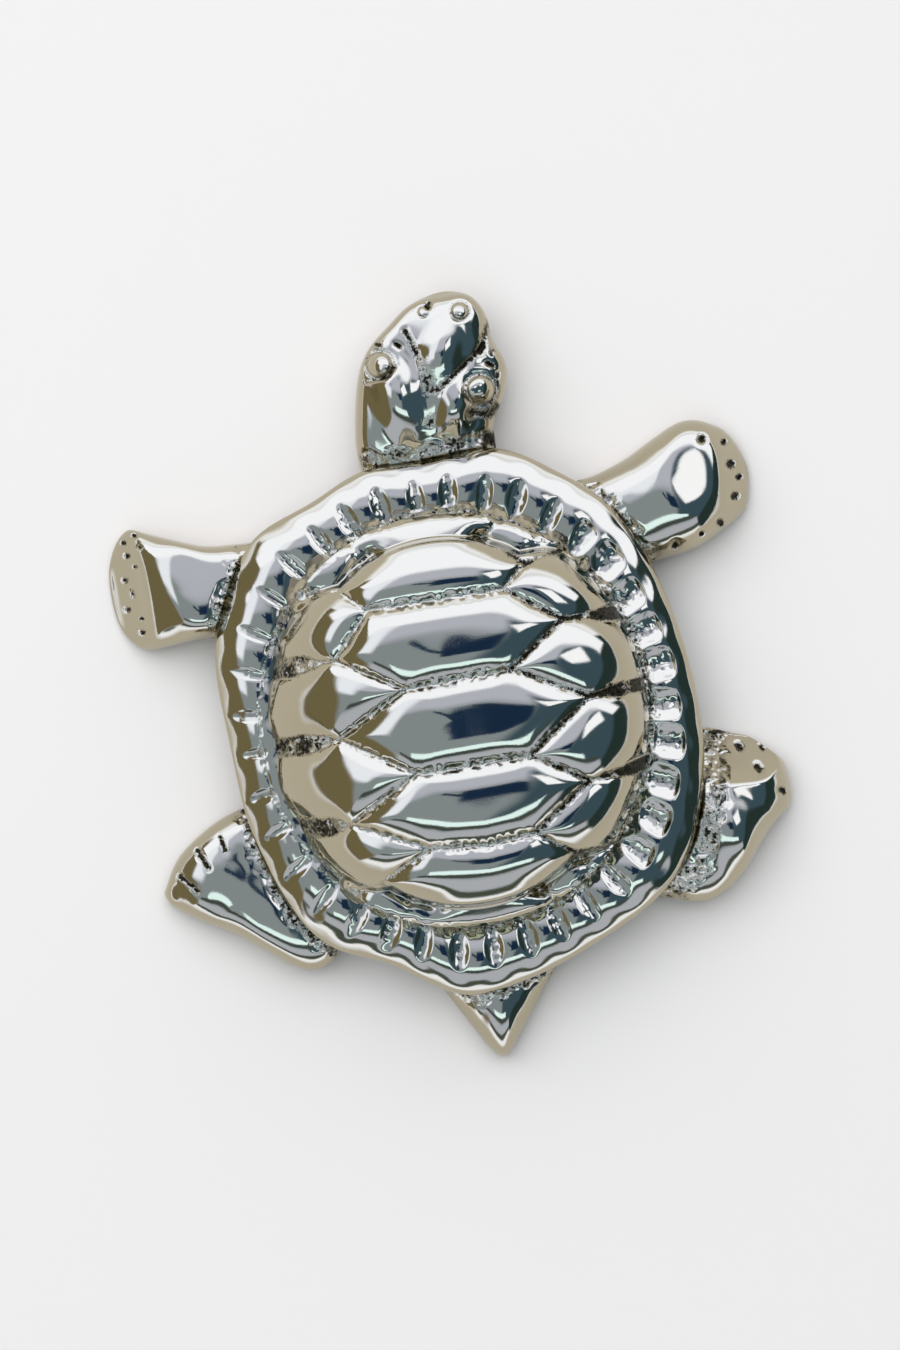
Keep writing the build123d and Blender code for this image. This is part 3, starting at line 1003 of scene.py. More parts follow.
    def groove_distance(self, x: Array, y: Array) -> tuple[Array, Array]:
        """Distance from the nearest groove, rounded where two are as near, and from the nearest spine groove.

        Distances to the lines are joined as (sum of d^-join)^(-1/join), which leaves no ridge midway.
        The grooves between flank scutes widen into channels towards the rim.

        Args:
            x: plan coordinate.
            y: plan coordinate.

        Returns:
            Both distances.
        """
        left, right = self.channel_half
        half = left * smoothstep(*self.channel_left, x) + right * smoothstep(*self.channel_right, x)
        spine = [line_distance(x, y, line) for line in SPINE_GROOVES]
        flank = [np.maximum(line_distance(x, y, line) - half, 0.0) for line in FLANK_GROOVES]
        stretches = [pair for zigzag in (LEFT_ZIGZAG, RIGHT_ZIGZAG) for pair in zip(zigzag, zigzag[1:])]
        sides = [line_distance(x, y, pair) for pair in stretches]
        every = np.maximum(np.stack(spine + flank + sides), self.groove_least)
        joined = (every**-self.groove_join).sum(axis=0) ** (-1.0 / self.groove_join)
        return joined, np.min(spine, axis=0)

    def rim_height(self, x: Array, y: Array) -> tuple[Array, Array]:
        """Height of the rim's top, and how deep in a dent a point lies.

        Across its width the rim rises as a parabola to its crest and falls more gently behind it. Each dent
        is a shallow bowl, 1 - u^2, across the rim, at even steps of the ring ellipse's angle; between dents
        the rim swells. On the turtle's left the dents are narrow, on its right wide and blunt.

        Args:
            x: plan coordinate.
            y: plan coordinate.

        Returns:
            Height and dent mask.
        """
        dx = (x - self.dent_ring_middle[0]) / self.dent_ring[0]
        dy = (y - self.dent_ring_middle[1]) / self.dent_ring[1]
        turn = np.arctan2(dy, dx) * self.dent_count / FULL_TURN
        number = np.round(turn)
        pitch = FULL_TURN / self.dent_count * np.hypot(self.dent_ring[0] * dy, self.dent_ring[1] * dx)
        across = (turn - number) * pitch
        inside = -self.plan.beyond(x, y)
        foot_x = (x - self.plan.middle[0]) / self.foot_half[0]
        foot_y = (y - self.plan.middle[1]) / self.foot_half[1]
        foot_radius = np.hypot(self.foot_half[0] * foot_x, self.foot_half[1] * foot_y)
        span = np.maximum(inside + (np.hypot(foot_x, foot_y) - 1.0) * foot_radius, 1.0)
        left = smoothstep(*self.rim_left, x)
        right = smoothstep(*self.rim_right, x)
        wobble = Pattern.DENT_WOBBLE.at(number, 0.0)
        outwards, wider, sideways = self.dent_wobble
        along = inside - self.lip - self.dent_place * (span - self.lip) + outwards * wobble
        half_width = self.dent_half_width + wider * wobble
        half_width = half_width + self.right_wider * right - self.left_narrower * left
        half_length = np.minimum(self.dent_half_length, self.dent_most * (span - self.lip))
        half_length = half_length * (1.0 - self.right_shorter * right)
        ends = np.abs(along / half_length) ** (self.dent_power + self.right_blunter * right)
        bowl = 1.0 - ((across - sideways * wobble) / half_width) ** 2 - ends
        dent = np.clip(0.5 * (bowl + np.hypot(bowl, self.dent_edge[0])) - self.dent_edge[1], 0.0, 1.0)
        steep = self.dent_cut - self.left_shallower * left - self.right_shallower * right
        pillow = 0.5 - 0.5 * np.cos(FULL_TURN * across / pitch)
        behind = inside - self.rim_crest - self.left_crest * left
        front = 1.0 - self.left_flatter * left
        fall = self.rim_fall * behind**2 * np.where(behind > 0.0, self.rim_back, front)
        swell = self.rim_swell * (pillow - 1.0) * smoothstep(*self.swell_from, inside)
        height = self.plan.rim_top + self.rim_lift - fall + swell
        return height - steep * half_width * dent, dent

    def surface(self, x: Array, y: Array) -> tuple[Array, Array, Array, Array]:
        """Heights of the dome and of the rim over plan points, and the patina.

        Each scute is a pillow on the crown: it falls by drop * (1 - d/reach)^power towards its grooves, with
        d the distance from them. The grooves and the dome's foot are deepened, roughened and darkened.

        Args:
            x: plan coordinate.
            y: plan coordinate.

        Returns:
            Dome height, rim height, and the patina of each.
        """
        distance, spine = self.groove_distance(x, y)
        rim, dent = self.rim_height(x, y)
        near = 1.0 - np.clip(distance / self.pillow_reach, 0.0, 1.0)
        dome = self.crown(x, y) - self.pillow_drop * near**self.pillow_power
        grain = Pattern.SHELL_GRAIN.at(x, y)
        coarse = Pattern.SHELL_SPECKS.at(x, y)
        specks = np.clip(self.specks[0] + self.specks[1] * coarse, 0.0, 1.0)
        out, _ = self.sides(x, y)
        away = np.hypot(x - self.plan.middle[0], y - self.plan.middle[1])
        away = (1.0 - 1.0 / np.maximum(out, self.least_out)) * away
        clean = smoothstep(*self.foot_left, x)
        foot = bell(away - self.foot_place, self.foot_width - self.left_cleaner * clean)
        foot = foot * (1.0 - self.left_cleaner * clean)
        groove = bell(distance, self.groove_half[0] + self.groove_half[1] * coarse)
        rough = np.maximum(groove, bell(spine, self.spine_half))
        swell = Pattern.SHELL_SWELL.at(x, y) * self.swell_height
        swell = swell + Pattern.SHELL_RIPPLE.at(x, y) * self.ripple_height
        dome = dome + swell - grained(rough, self.groove_cut, grain) - grained(foot, self.foot_cut, grain)
        pits = self.dent_pits * dent * grain * (1.0 - self.left_smoother * smoothstep(*self.rim_left, x))
        rim = rim - grained(foot, self.rim_foot_cut, grain) - pits
        channel = groove * smoothstep(*self.channel_start, np.abs(x - self.plan.middle[0]))
        # Patina in the grooves, with painted shade added towards the turtle's right
        right = smoothstep(*self.painted_shade_right, x)
        dome_patina = grained(grained(rough, self.groove_patina_and_shade, right), self.groove_specks, specks)
        dome_patina = dome_patina + grained(channel, self.channel_patina, specks)
        # The ledges in front and behind are clean
        crown = smoothstep(*self.clean_ends, np.abs(y - self.plan.middle[1]))
        dome_patina = dome_patina * crown + self.foot_patina * foot * specks
        rim_patina = grained(foot, self.rim_foot_patina, specks) + self.dent_patina * dent**2 * specks
        return dome, rim, np.clip(dome_patina, 0.0, 1.0), np.clip(rim_patina, 0.0, 1.0)

    def build_dome(self) -> Object:
        """Builds the closed dome: rows run from the crown's pole to the foot and back up inside the hollow.

        Returns:
            The dome's object.
        """
        bottom = self.plan.rim_bottom
        angle = np.linspace(0.0, FULL_TURN, self.dome_columns, endpoint=False)
        reach = ellipse_radius(angle, self.dome_half_width, self.dome_half_length)
        top = np.linspace(self.pole_gap, self.shoulder, self.dome_rows)
        close = np.linspace(self.shoulder_start, 0.0, self.shoulder_rows) ** self.shoulder_crowding
        outer = reach * np.concatenate((top, 1.0 - self.shoulder_width * close))[:, None]
        place = self.plan.points(angle, outer, 0.0)
        z, _, patina, _ = self.surface(place[..., 0], place[..., 1])
        z = np.maximum(z, bottom)
        sizes = np.array([self.dome_half_width, self.dome_half_length, self.dome_rise]) - self.wall
        mouth = ellipse_radius(angle, sizes[0], sizes[1])
        rise = np.linspace(0.0, QUARTER_TURN, self.hollow_rows)[:-1, None]
        hollow = self.plan.points(angle, mouth * np.cos(rise), bottom + sizes[2] * np.sin(rise))
        fall = np.linspace(1.0, 0.0, self.wall_rows)[1:, None]
        wall = self.plan.points(angle, reach, bottom + (z[-1] - bottom) * fall)
        grid = np.concatenate((self.plan.points(angle, outer, z), wall, hollow))
        marks = np.concatenate((patina, patina[-1] * fall, np.full(hollow.shape[:2], self.hidden_patina)))
        return grid_object("shell_dome_casting", grid, {"patina": marks}, (True, True))

    def build_rim(self) -> Object:
        """Builds the rim as a closed ring whose inner edge lies in the dome's wall.

        Rows run outwards over the top, down the lip along a curve of two tangents, round the lower edge and
        back under.

        Returns:
            The rim's object.
        """
        bottom = self.plan.rim_bottom
        angle = np.linspace(0.0, FULL_TURN, self.rim_columns, endpoint=False)
        outer = self.plan.radius(angle)
        inner = ellipse_radius(angle, self.dome_half_width, self.dome_half_length, self.rim_inner)
        top = inner + (outer - self.lip - inner) * np.linspace(0.0, 1.0, self.rim_rows)[:, None]
        place = self.plan.points(angle, top, 0.0)
        _, z, _, patina = self.surface(place[..., 0], place[..., 1])
        slope = (z[-2] - z[-1]) / (top[-1] - top[-2])
        bend = np.clip(z[-1] - slope * self.lip, self.lip_foot + self.lip_least, None)
        t = np.linspace(0.0, 1.0, self.lip_rows)[1:, None]
        lip = outer - self.lip * (1.0 - t) ** 2
        lip_z = (1.0 - t) ** 2 * z[-1] + 2.0 * t * (1.0 - t) * bend + t**2 * self.lip_foot
        low = np.linspace(0.0, QUARTER_TURN, self.edge_rows)[1:, None]
        drop = self.lip_foot - bottom
        under = outer - drop * (1.0 - np.cos(low))
        under_z = bottom + drop * (1.0 - np.sin(low)) + 0.0 * outer
        back = inner + (under[-1] - inner) * np.array(self.back_shares)[:, None]
        back_z = bottom + np.array(self.back_lifts)[:, None] + 0.0 * outer
        radius = np.vstack((top, lip, under, back))
        grid = self.plan.points(angle, radius, np.vstack((z, lip_z, under_z, back_z)))
        # The rim's lower edge is darker than its top, and so is its hidden underside
        below = np.full_like(under, self.rim_edge_darkening), np.full_like(back, self.hidden_patina)
        marks = np.vstack((patina, np.zeros_like(lip), *below))
        return grid_object("shell_rim_casting", grid, {"patina": marks}, (False, False), looped=True)

    def make(self, metal: Material) -> None:
        """Builds the dome and the rim and dresses both as the carapace.

        Args:
            metal: the castings' material.
        """
        for piece in (self.build_dome(), self.build_rim()):
            dress(piece, "carapace", metal)


@dataclass(frozen=True)
class Lobe:
    """A swelling that melts into the surface all round, turned in plan."""

    x: float
    y: float
    turn: float
    half_length: float
    half_width: float
    rise: float

    def press(self, x: Array, y: Array) -> tuple[Array, Array]:
        """How deep the surface is pressed, negative on the swelling, and how dark.

        The swelling is rise * (1 - r^2)^2, with r the elliptic distance from its middle.

        Args:
            x: plan coordinate.
            y: plan coordinate.

        Returns:
            Depth and darkness.
        """
        along, across = turned(x, y, (self.x, self.y), self.turn)
        along, across = along / self.half_length, across / self.half_width
        swell = np.clip(1.0 - along**2 - across**2, 0.0, 1.0) ** 2
        return -self.rise * swell, 0.0 * swell


@dataclass(frozen=True)
class Facet:
    """A flat slope cut across the back, falling along a heading."""

    x: float
    y: float
    heading: float
    height: float
    slope: float
    blend: float = 0.5

    def cut(self, x: Array, y: Array, z: Array) -> Array:
        """Height of a surface once the slope has cut it.

        Args:
            x: plan coordinate.
            y: plan coordinate.
            z: the surface's height.

        Returns:
            The lowered height.
        """
        away, _ = turned(x, y, (self.x, self.y), self.heading)
        return -smooth_max(-z, away * math.tan(math.radians(self.slope)) - self.height, self.blend)


@dataclass(frozen=True)
class Crease:
    """A valley pressed along a line."""

    points: tuple[Pair, ...]
    width: float
    depth: float
    dark: float = 0.5

    def press(self, x: Array, y: Array) -> tuple[Array, Array]:
        """How deep the valley is, and how dark, as a bell across the line."""
        profile = bell(line_distance(x, y, self.points), self.width)
        return self.depth * profile, self.dark * profile


@dataclass(frozen=True)
class Ball:
    """A bead in a moat, with a lid round it: an eye or a nostril."""

    x: float
    y: float
    radius: float
    stand: float
    moat: float
    lid: float
    dark: float = 0.35
    # Places and widths of the moat and of the lid, in radii
    moat_ring: Pair = (1.12, 0.24)
    lid_ring: Pair = (1.6, 0.32)

    def press(self, x: Array, y: Array) -> tuple[Array, Array]:
        """How deep the surface is pressed, negative on the bead and its lid, and how dark.

        The bead is half an ellipsoid, and the moat and the lid are bells about rings just outside it.

        Args:
            x: plan coordinate.
            y: plan coordinate.

        Returns:
            Depth and darkness.
        """
        away = np.hypot(x - self.x, y - self.y) / self.radius
        bead = np.sqrt(np.clip(1.0 - away**2, 0.0, 1.0)) * self.stand
        ring = bell(away - self.moat_ring[0], self.moat_ring[1])
        lid = bell(away - self.lid_ring[0], self.lid_ring[1]) * self.lid
        return self.moat * ring - bead - lid, self.dark * ring


Marks = tuple[Lobe | Crease | Ball, ...]


def pits(places: Sequence[Triple], run: Pair, depth: float, dark: float) -> Marks:
    """One very short crease for each plan place and width."""
    return tuple(Crease(((x, y), (x + run[0], y + run[1])), width, depth, dark) for x, y, width in places)


@dataclass
class Limb:
    """A limb cast in one: a body carried through stations, with facets, marks and a dark root.

    A station is its place from root to tip, the right and the left edge in half widths, and the underside and
    the top in heights. The tip is the middle of the last cross-section, across and up.
    """

    name: str
    node: str
    root: Pair
    heading: float
    reach: float
    half_width: float
    height: float
    stations: Sequence[tuple[float, ...]]
    tip: Pair
    facets: Sequence[Facet] = ()
    marks: Marks = ()
    flatness: float = 1.0
    band: float = 1.6
    waist: float = 0.30
    sole: float = 0.84
    sole_lift: float = 0.6
    crowding: float = 1.35
    # Stretches of a section's height: of the marked back, of the cast surface and of the dark underside
    back_from: Pair = (0.25, 0.50)
    upper_from: Pair = (0.3, 0.5)
    under_from: Pair = (0.35, 0.0)
    specks: Pair = (0.55, 0.9)
    # How the root's band is darkened, plain and by specks, and its grain, lumps, drop and ragged edge
    band_patina: Pair = (0.06, 0.48)
    band_relief: Triple = (0.20, 0.16, 0.25)
    band_edge: float = 0.7
    band_fade: float = 0.6
    swell_height: float = 0.05
    ripple_height: float = 0.02
    # Darkness added towards the bottom of each section
    underside_darkening: float = 0.3
    # How far the root stays off the plate's wall, how far out it counts as under the rim, and its gap there
    wall_gap: float = 0.1
    rim_margin: float = 0.12
    rim_gap: float = 0.02
    rows: int = 200
    back_columns: int = 150
    tuck_columns: int = 9
    sole_columns: int = 10
    plan: ShellPlan = SHELL

    def spine(self, at: Array) -> Array:
        """Along, right, left, underside and top along the limb, in millimetres.

        A spline runs through the stations and on through the tip to their mirror images, so that the outline
        rounds the tip.

        Args:
            at: places from 0 at the root to 1 at the tip.

        Returns:
            One row of five values for each place.
        """
        across, up = self.tip
        table = np.array(list(self.stations) + [(1.0, across, across, up, up)])
        ghosts = table[-2:-4:-1][:, [0, 2, 1, 4, 3]]
        table = np.vstack((table, ghosts))
        table = table * np.array([self.reach, self.half_width, self.half_width, self.height, self.height])
        steps = np.linalg.norm(np.diff(table, axis=0), axis=1)
        share = steps[: -len(ghosts)].sum() / steps.sum()
        return curve_through(table, at * share)

    def directions(self) -> tuple[Array, Array]:
        """Plan directions ahead and to the left of the limb."""
        turn = math.radians(self.heading)
        return np.array([math.cos(turn), math.sin(turn)]), np.array([-math.sin(turn), math.cos(turn)])

    def body(self) -> tuple[Array, Array]:
        """Closed body before its marks.

        Each row is one cross-section: a back from the widest line up, elliptic or boxier as flatness drops
        below 1, a quarter ellipse tucked under on each side and a flat sole.

        Returns:
            Grid of points, and how high each stands in its section from 0 to 1.
        """
        at = 1.0 - (1.0 - np.linspace(0.0, 1.0, self.rows)[:-1]) ** self.crowding
        along, right, left, under, top = self.spine(at).T
        over = np.linspace(0.0, math.pi, self.back_columns)
        tuck = np.linspace(0.0, QUARTER_TURN, self.tuck_columns)[1:]
        flat = np.linspace(1.0, -1.0, self.sole_columns)[1:-1]
        low_x = self.sole + (1.0 - self.sole) * np.cos(tuck)
        low_z = self.waist * (1.0 - np.sin(tuck))
        back_x = -np.sign(np.cos(over)) * np.abs(np.cos(over)) ** self.flatness
        back_z = np.sin(over) ** self.flatness
        side = np.concatenate((back_x, low_x, self.sole * flat, -low_x[::-1]))
        rise = np.concatenate((self.waist + (1.0 - self.waist) * back_z, low_z, 0.0 * flat, low_z[::-1]))
        middle, half = (left + right) / 2.0, (left - right) / 2.0
        ahead, leftward = self.directions()
        across = middle[:, None] + half[:, None] * side
        x = self.root[0] + ahead[0] * along[:, None] + leftward[0] * across
        y = self.root[1] + ahead[1] * along[:, None] + leftward[1] * across
        z = self.sole_lift + under[:, None] + (top - under)[:, None] * rise
        return np.stack((x, y, z), -1), np.broadcast_to(rise, z.shape)

    def shaped(self, grid: Array, rise: Array) -> tuple[Array, Array]:
        """Cuts the facets and adds the marks to the back.

        Args:
            grid: the body's points.
            rise: how high each stands in its section.

        Returns:
            The changed grid and its patina.
        """
        x, y, z = np.moveaxis(grid, -1, 0)
        upper = smoothstep(*self.back_from, rise)
        for facet in self.facets:
            z = facet.cut(x, y, z)
        patina = np.zeros_like(z)
        for mark in self.marks:
            depth, dark = mark.press(x, y)
            z = z - depth * upper
            patina = patina + dark * upper
        return np.stack((x, y, z), -1), patina

    def tucked(self, grid: Array) -> Array:
        """Fits the root under the rim and against the belly plate's wall.

        Points inside the plate's outline are pushed out to its wall, and those under the rim are kept below
        its underside.

        Args:
            grid: the limb's points.

        Returns:
            The fitted points.
        """
        x, y, z = np.moveaxis(grid, -1, 0)
        middle = self.plan.middle
        inward = np.minimum(self.plan.beyond(x, y, self.plan.plate_inset) - self.wall_gap, 0.0)
        radius = np.hypot(x - middle[0], y - middle[1])
        grow = 1.0 - inward / radius
        x = middle[0] + (x - middle[0]) * grow
        y = middle[1] + (y - middle[1]) * grow
        low = np.minimum(z, self.plan.rim_bottom - self.rim_gap)
        z = np.where(self.plan.beyond(x, y) < self.rim_margin, low, z)
        return np.stack((x, y, z), -1)

    def make(self, metal: Material) -> None:
        """Builds the limb and dresses it: a ragged band along the shell's outline is rough and dark.

        Args:
            metal: the castings' material.
        """
        grid, rise = self.body()
        grid, patina = self.shaped(grid, rise)
        x, y, z = np.moveaxis(grid, -1, 0)
        ragged = self.plan.beyond(x, y) - self.band_edge * Pattern.ROOT_EDGE.at(x, y, z)
        band = smoothstep(self.band + self.band_fade, self.band - self.band_fade, ragged)
        grain = Pattern.LIMB_GRAIN.at(x, y, z)
        coarse = Pattern.LIMB_SPECKS.at(x, y, z)
        specks = np.clip(self.specks[0] + self.specks[1] * coarse, 0.0, 1.0)
        upper = smoothstep(*self.upper_from, rise)
        swell = self.swell_height * Pattern.LIMB_SWELL.at(x, y, z)
        swell = swell + self.ripple_height * Pattern.LIMB_RIPPLE.at(x, y, z)
        fine, lumps, drop = self.band_relief
        z = z + swell * upper + band * upper * (fine * grain + lumps * coarse - drop)
        patina = patina + grained(band, self.band_patina, specks)
        # Each section grows darker towards its bottom
        patina = patina + smoothstep(*self.under_from, rise) * self.underside_darkening
        grid = self.tucked(np.stack((x, y, z), -1))
        piece = grid_object(self.name, grid, {"patina": np.clip(patina, 0.0, 1.0)}, (True, True))
        dress(piece, self.node, metal)


# Head, turned a little to the turtle's right: snout wedge, cheeks, eyes in lids, and nostrils
HEAD = Limb(
    name="head_casting", node="head", root=(-1.29, -28.98), heading=270.0, reach=22.0,
    half_width=9.6, height=12.8, tip=(-0.43, 0.44), flatness=0.52, band=2.0, rows=260, back_columns=190,
    stations=(
        (0.00, -0.78, 0.92, 0.00, 0.60), (0.16, -0.78, 0.94, 0.00, 0.63), (0.27, -0.82, 0.94, 0.01, 0.68),
        (0.37, -0.96, 0.91, 0.02, 0.71), (0.48, -1.06, 0.86, 0.04, 0.73), (0.58, -1.07, 0.80, 0.07, 0.74),
        (0.68, -0.98, 0.71, 0.10, 0.74), (0.78, -0.95, 0.54, 0.14, 0.73), (0.87, -0.91, 0.28, 0.18, 0.71),
        (0.94, -0.81, 0.06, 0.23, 0.66), (0.98, -0.67, -0.16, 0.30, 0.54),
    ),
    marks=(
        Lobe(-5.2, -45.4, 70.0, 6.4, 5.0, 0.9),
        Lobe(-3.5, -42.2, 66.0, 6.2, 3.3, 1.1),
        Lobe(1.7, -39.0, 97.0, 6.6, 3.7, 1.6),
        Lobe(-4.7, -37.2, 75.0, 5.0, 3.0, 1.8),
        Lobe(-8.0, -38.8, 80.0, 3.4, 3.0, 0.5),
        Crease(((-0.4, -47.0), (-1.5, -43.3), (-1.8, -39.3), (-1.6, -35.6)), 0.36, 0.40, 0.75),
        Crease(((-9.2, -43.6), (-6.2, -41.4), (-4.2, -40.0), (-2.2, -38.9)), 0.36, 0.42, 0.75),
        Crease(((-10.4, -46.6), (-9.4, -44.2), (-8.8, -43.0)), 0.45, 0.40, 0.60),
        Crease(((5.2, -41.9), (3.0, -41.8), (1.4, -42.9)), 0.30, 0.25, 0.30),
        Crease(((-6.6, -36.0), (-8.6, -35.6), (-9.6, -36.4)), 0.60, 0.35, 0.75),
        Crease(((-8.0, -32.9), (-8.3, -32.5)), 0.70, 0.50, 1.00),
        Ball(3.2, -43.5, 1.45, 1.0, 0.25, 0.08),
        Ball(-8.0, -38.6, 1.6, 1.1, 0.28, 0.10),
        Ball(-7.2, -48.1, 1.0, 0.45, 0.25, 0.0),
        Ball(-2.9, -48.8, 0.60, 0.20, 0.20, 0.0, 0.3),
        Crease(((-3.7, -49.6), (-3.6, -49.3)), 0.38, 0.55, 0.95),
        Crease(((0.9, -45.6), (0.5, -45.2)), 0.30, 0.45, 0.90),
        Crease(((3.1, -46.0), (2.8, -45.8)), 0.30, 0.35, 0.90),
        Crease(((-9.4, -41.5), (-9.9, -41.2)), 0.35, 0.45, 0.95),
        Crease(((-10.3, -42.9), (-10.1, -42.6)), 0.28, 0.30, 0.80),
        Crease(((-10.4, -40.0), (-10.2, -39.7)), 0.28, 0.30, 0.80),
    ),
)
# Left front leg: waisted, with a broad foot whose end slopes down to a ragged margin
FRONT_LEFT_LEG = Limb(
    name="front_left_casting", node="front_left_leg", root=(20.72, -20.6), heading=0.0, reach=19.0,
    half_width=8.0, height=8.4, tip=(-0.22, -0.01), flatness=0.66, band=0.9,
    stations=(
        (0.00, -0.62, 0.62, 0.00, 0.86), (0.21, -0.66, 0.70, 0.00, 0.94), (0.35, -0.70, 0.69, 0.00, 1.00),
        (0.47, -0.80, 0.67, 0.00, 1.05), (0.54, -0.87, 0.67, 0.00, 1.00), (0.61, -0.94, 0.68, 0.00, 0.885),
        (0.68, -1.01, 0.69, 0.00, 0.77), (0.75, -1.09, 0.69, 0.00, 0.65), (0.82, -1.14, 0.68, 0.00, 0.455),
        (0.88, -1.06, 0.61, 0.00, 0.290), (0.94, -0.87, 0.45, 0.00, 0.13), (0.98, -0.64, 0.24, 0.00, 0.04),
    ),
    facets=(Facet(27.0, -18.0, -95.0, 9.4, 11.5, 1.3),),
    marks=(
        Lobe(33.4, -22.0, 90.0, 7.0, 3.4, 0.35),
        *pits((
            (37.1, -28.3, 0.30), (36.9, -26.7, 0.32), (37.7, -23.9, 0.30), (38.0, -20.4, 0.32),
            (36.65, -17.4, 0.30), (36.1, -25.2, 0.22), (37.0, -22.0, 0.22), (36.4, -19.0, 0.20),
            (35.6, -28.9, 0.24), (35.2, -27.4, 0.20),
        ), (-0.15, 0.1), 0.4, 0.9),
    ),
)
# Right front leg: a glossy domed foot inside a scalloped margin with claw holes
FRONT_RIGHT_LEG = Limb(
    name="front_right_casting", node="front_right_leg", root=(-19.01, -22.21), heading=180.0, reach=19.0,
    half_width=8.0, height=8.4, tip=(0.21, 0.06), flatness=0.95, band=0.9,
    stations=(
        (-0.17, -0.89, 0.50, 0.00, 0.76), (0.00, -0.90, 0.52, 0.00, 0.80),
        (0.13, -0.91, 0.60, 0.00, 0.86), (0.26, -0.91, 0.71, 0.00, 0.92),
        (0.36, -0.88, 0.83, 0.00, 0.98), (0.48, -0.85, 0.97, 0.00, 1.03), (0.61, -0.79, 1.09, 0.00, 1.01),
        (0.73, -0.66, 1.08, 0.00, 0.88), (0.80, -0.57, 1.01, 0.00, 0.74), (0.845, -0.52, 0.95, 0.00, 0.61),
        (0.89, -0.45, 0.87, 0.00, 0.46), (0.93, -0.37, 0.74, 0.00, 0.32), (0.965, -0.24, 0.57, 0.00, 0.20),
        (0.985, -0.06, 0.43, 0.00, 0.12),
    ),
    facets=(Facet(-29.3, -25.8, 208.0, 8.45, 18.0, 0.7),),
    marks=pits((
        (-33.0, -28.4, 0.50), (-35.6, -27.7, 0.42), (-35.9, -25.0, 0.55), (-36.7, -23.3, 0.38),
        (-35.8, -21.15, 0.52), (-33.5, -18.3, 0.45), (-27.65, -16.6, 0.44), (-31.0, -17.4, 0.30),
    ), (0.1, 0.1), 0.7, 1.0),
)
# Left rear leg: a swept-back flipper with toe grooves and a dark root
REAR_LEFT_LEG = Limb(
    name="rear_left_casting", node="rear_left_leg", root=(19.6, 15.0), heading=0.0, reach=20.0,
    half_width=10.4, height=8.4, tip=(-0.10, 0.08), flatness=0.85, band=1.1,
    stations=(
        (0.00, -0.77, 0.86, 0.00, 0.74), (0.13, -0.86, 1.04, 0.00, 0.80), (0.24, -0.91, 1.03, 0.00, 0.84),
        (0.38, -0.93, 0.86, 0.00, 0.88), (0.50, -0.90, 0.67, 0.00, 0.86), (0.62, -0.82, 0.49, 0.00, 0.78),
        (0.75, -0.68, 0.34, 0.00, 0.68), (0.85, -0.54, 0.22, 0.00, 0.56), (0.92, -0.39, 0.12, 0.00, 0.42),
        (0.98, -0.19, 0.01, 0.00, 0.26),
    ),
    facets=(Facet(35.0, 10.6, -40.0, 7.0, 49.0), Facet(29.0, 16.0, 30.0, 7.0, 5.0, 1.2)),
    marks=(
        Lobe(28.2, 18.2, 125.0, 8.0, 4.6, 0.4),
        Lobe(33.2, 13.0, 60.0, 5.0, 3.8, 0.4),
        Crease(((34.6, 9.4), (33.6, 11.6)), 0.36, 0.35, 0.8),
        Crease(((37.2, 12.1), (35.4, 14.1)), 0.36, 0.35, 0.8),
        Crease(((31.6, 8.3), (31.3, 10.0)), 0.32, 0.30, 0.8),
    ),
)
# Right rear leg: a glossy thigh behind a rounded toe tongue with pits
REAR_RIGHT_LEG = Limb(
    name="rear_right_casting", node="rear_right_leg", root=(-16.41, 15.0), heading=180.0, reach=20.0,
    half_width=10.4, height=8.4, tip=(0.10, 0.12), flatness=0.85, band=2.8,
    stations=(
        (0.00, -0.82, 0.77, 0.00, 0.74), (0.13, -0.92, 0.85, 0.00, 0.80), (0.24, -1.00, 0.88, 0.00, 0.86),
        (0.36, -1.05, 0.92, 0.00, 0.90), (0.45, -1.03, 0.93, 0.00, 0.92), (0.54, -0.94, 0.92, 0.00, 0.92),
        (0.64, -0.79, 0.86, 0.00, 0.90), (0.72, -0.61, 0.79, 0.00, 0.86), (0.81, -0.41, 0.72, 0.00, 0.80),
        (0.89, -0.27, 0.58, 0.00, 0.68), (0.95, -0.19, 0.47, 0.00, 0.52), (0.985, -0.12, 0.38, 0.00, 0.34),
    ),
    facets=(Facet(-31.4, 13.2, 255.0, 8.0, 50.0, 0.25),),
    marks=(
        Lobe(-29.0, 18.6, 115.0, 7.0, 4.6, 1.2),
        Crease(((-31.0, 8.3), (-31.2, 8.7)), 0.42, 0.6, 0.95),
        Crease(((-32.7, 11.1), (-32.9, 11.5)), 0.45, 0.6, 0.95),
        Crease(((-35.1, 14.3), (-35.3, 14.6)), 0.40, 0.6, 0.95),
        Crease(((-33.7, 8.9), (-33.9, 9.3)), 0.30, 0.4, 0.8),
    ),
)
# Wedge tail, curved a little to the turtle's left
TAIL = Limb(
    name="tail_casting", node="tail", root=(2.3, 28.0), heading=90.0, reach=12.1, half_width=7.6, height=7.4,
    tip=(-0.08, 0.12), flatness=1.1, band=0.8,
    stations=(
        (0.00, -1.08, 1.20, 0.00, 0.90), (0.17, -0.90, 1.03, 0.00, 0.90), (0.33, -0.76, 0.82, 0.00, 0.86),
        (0.50, -0.62, 0.61, 0.00, 0.80), (0.66, -0.49, 0.42, 0.00, 0.70), (0.83, -0.35, 0.21, 0.00, 0.56),
        (0.94, -0.23, 0.08, 0.00, 0.40),
    ),
    marks=(Lobe(2.3, 36.2, 90.0, 3.8, 3.0, 0.4),),
)
LIMBS = (HEAD, FRONT_LEFT_LEG, FRONT_RIGHT_LEG, REAR_LEFT_LEG, REAR_RIGHT_LEG, TAIL)


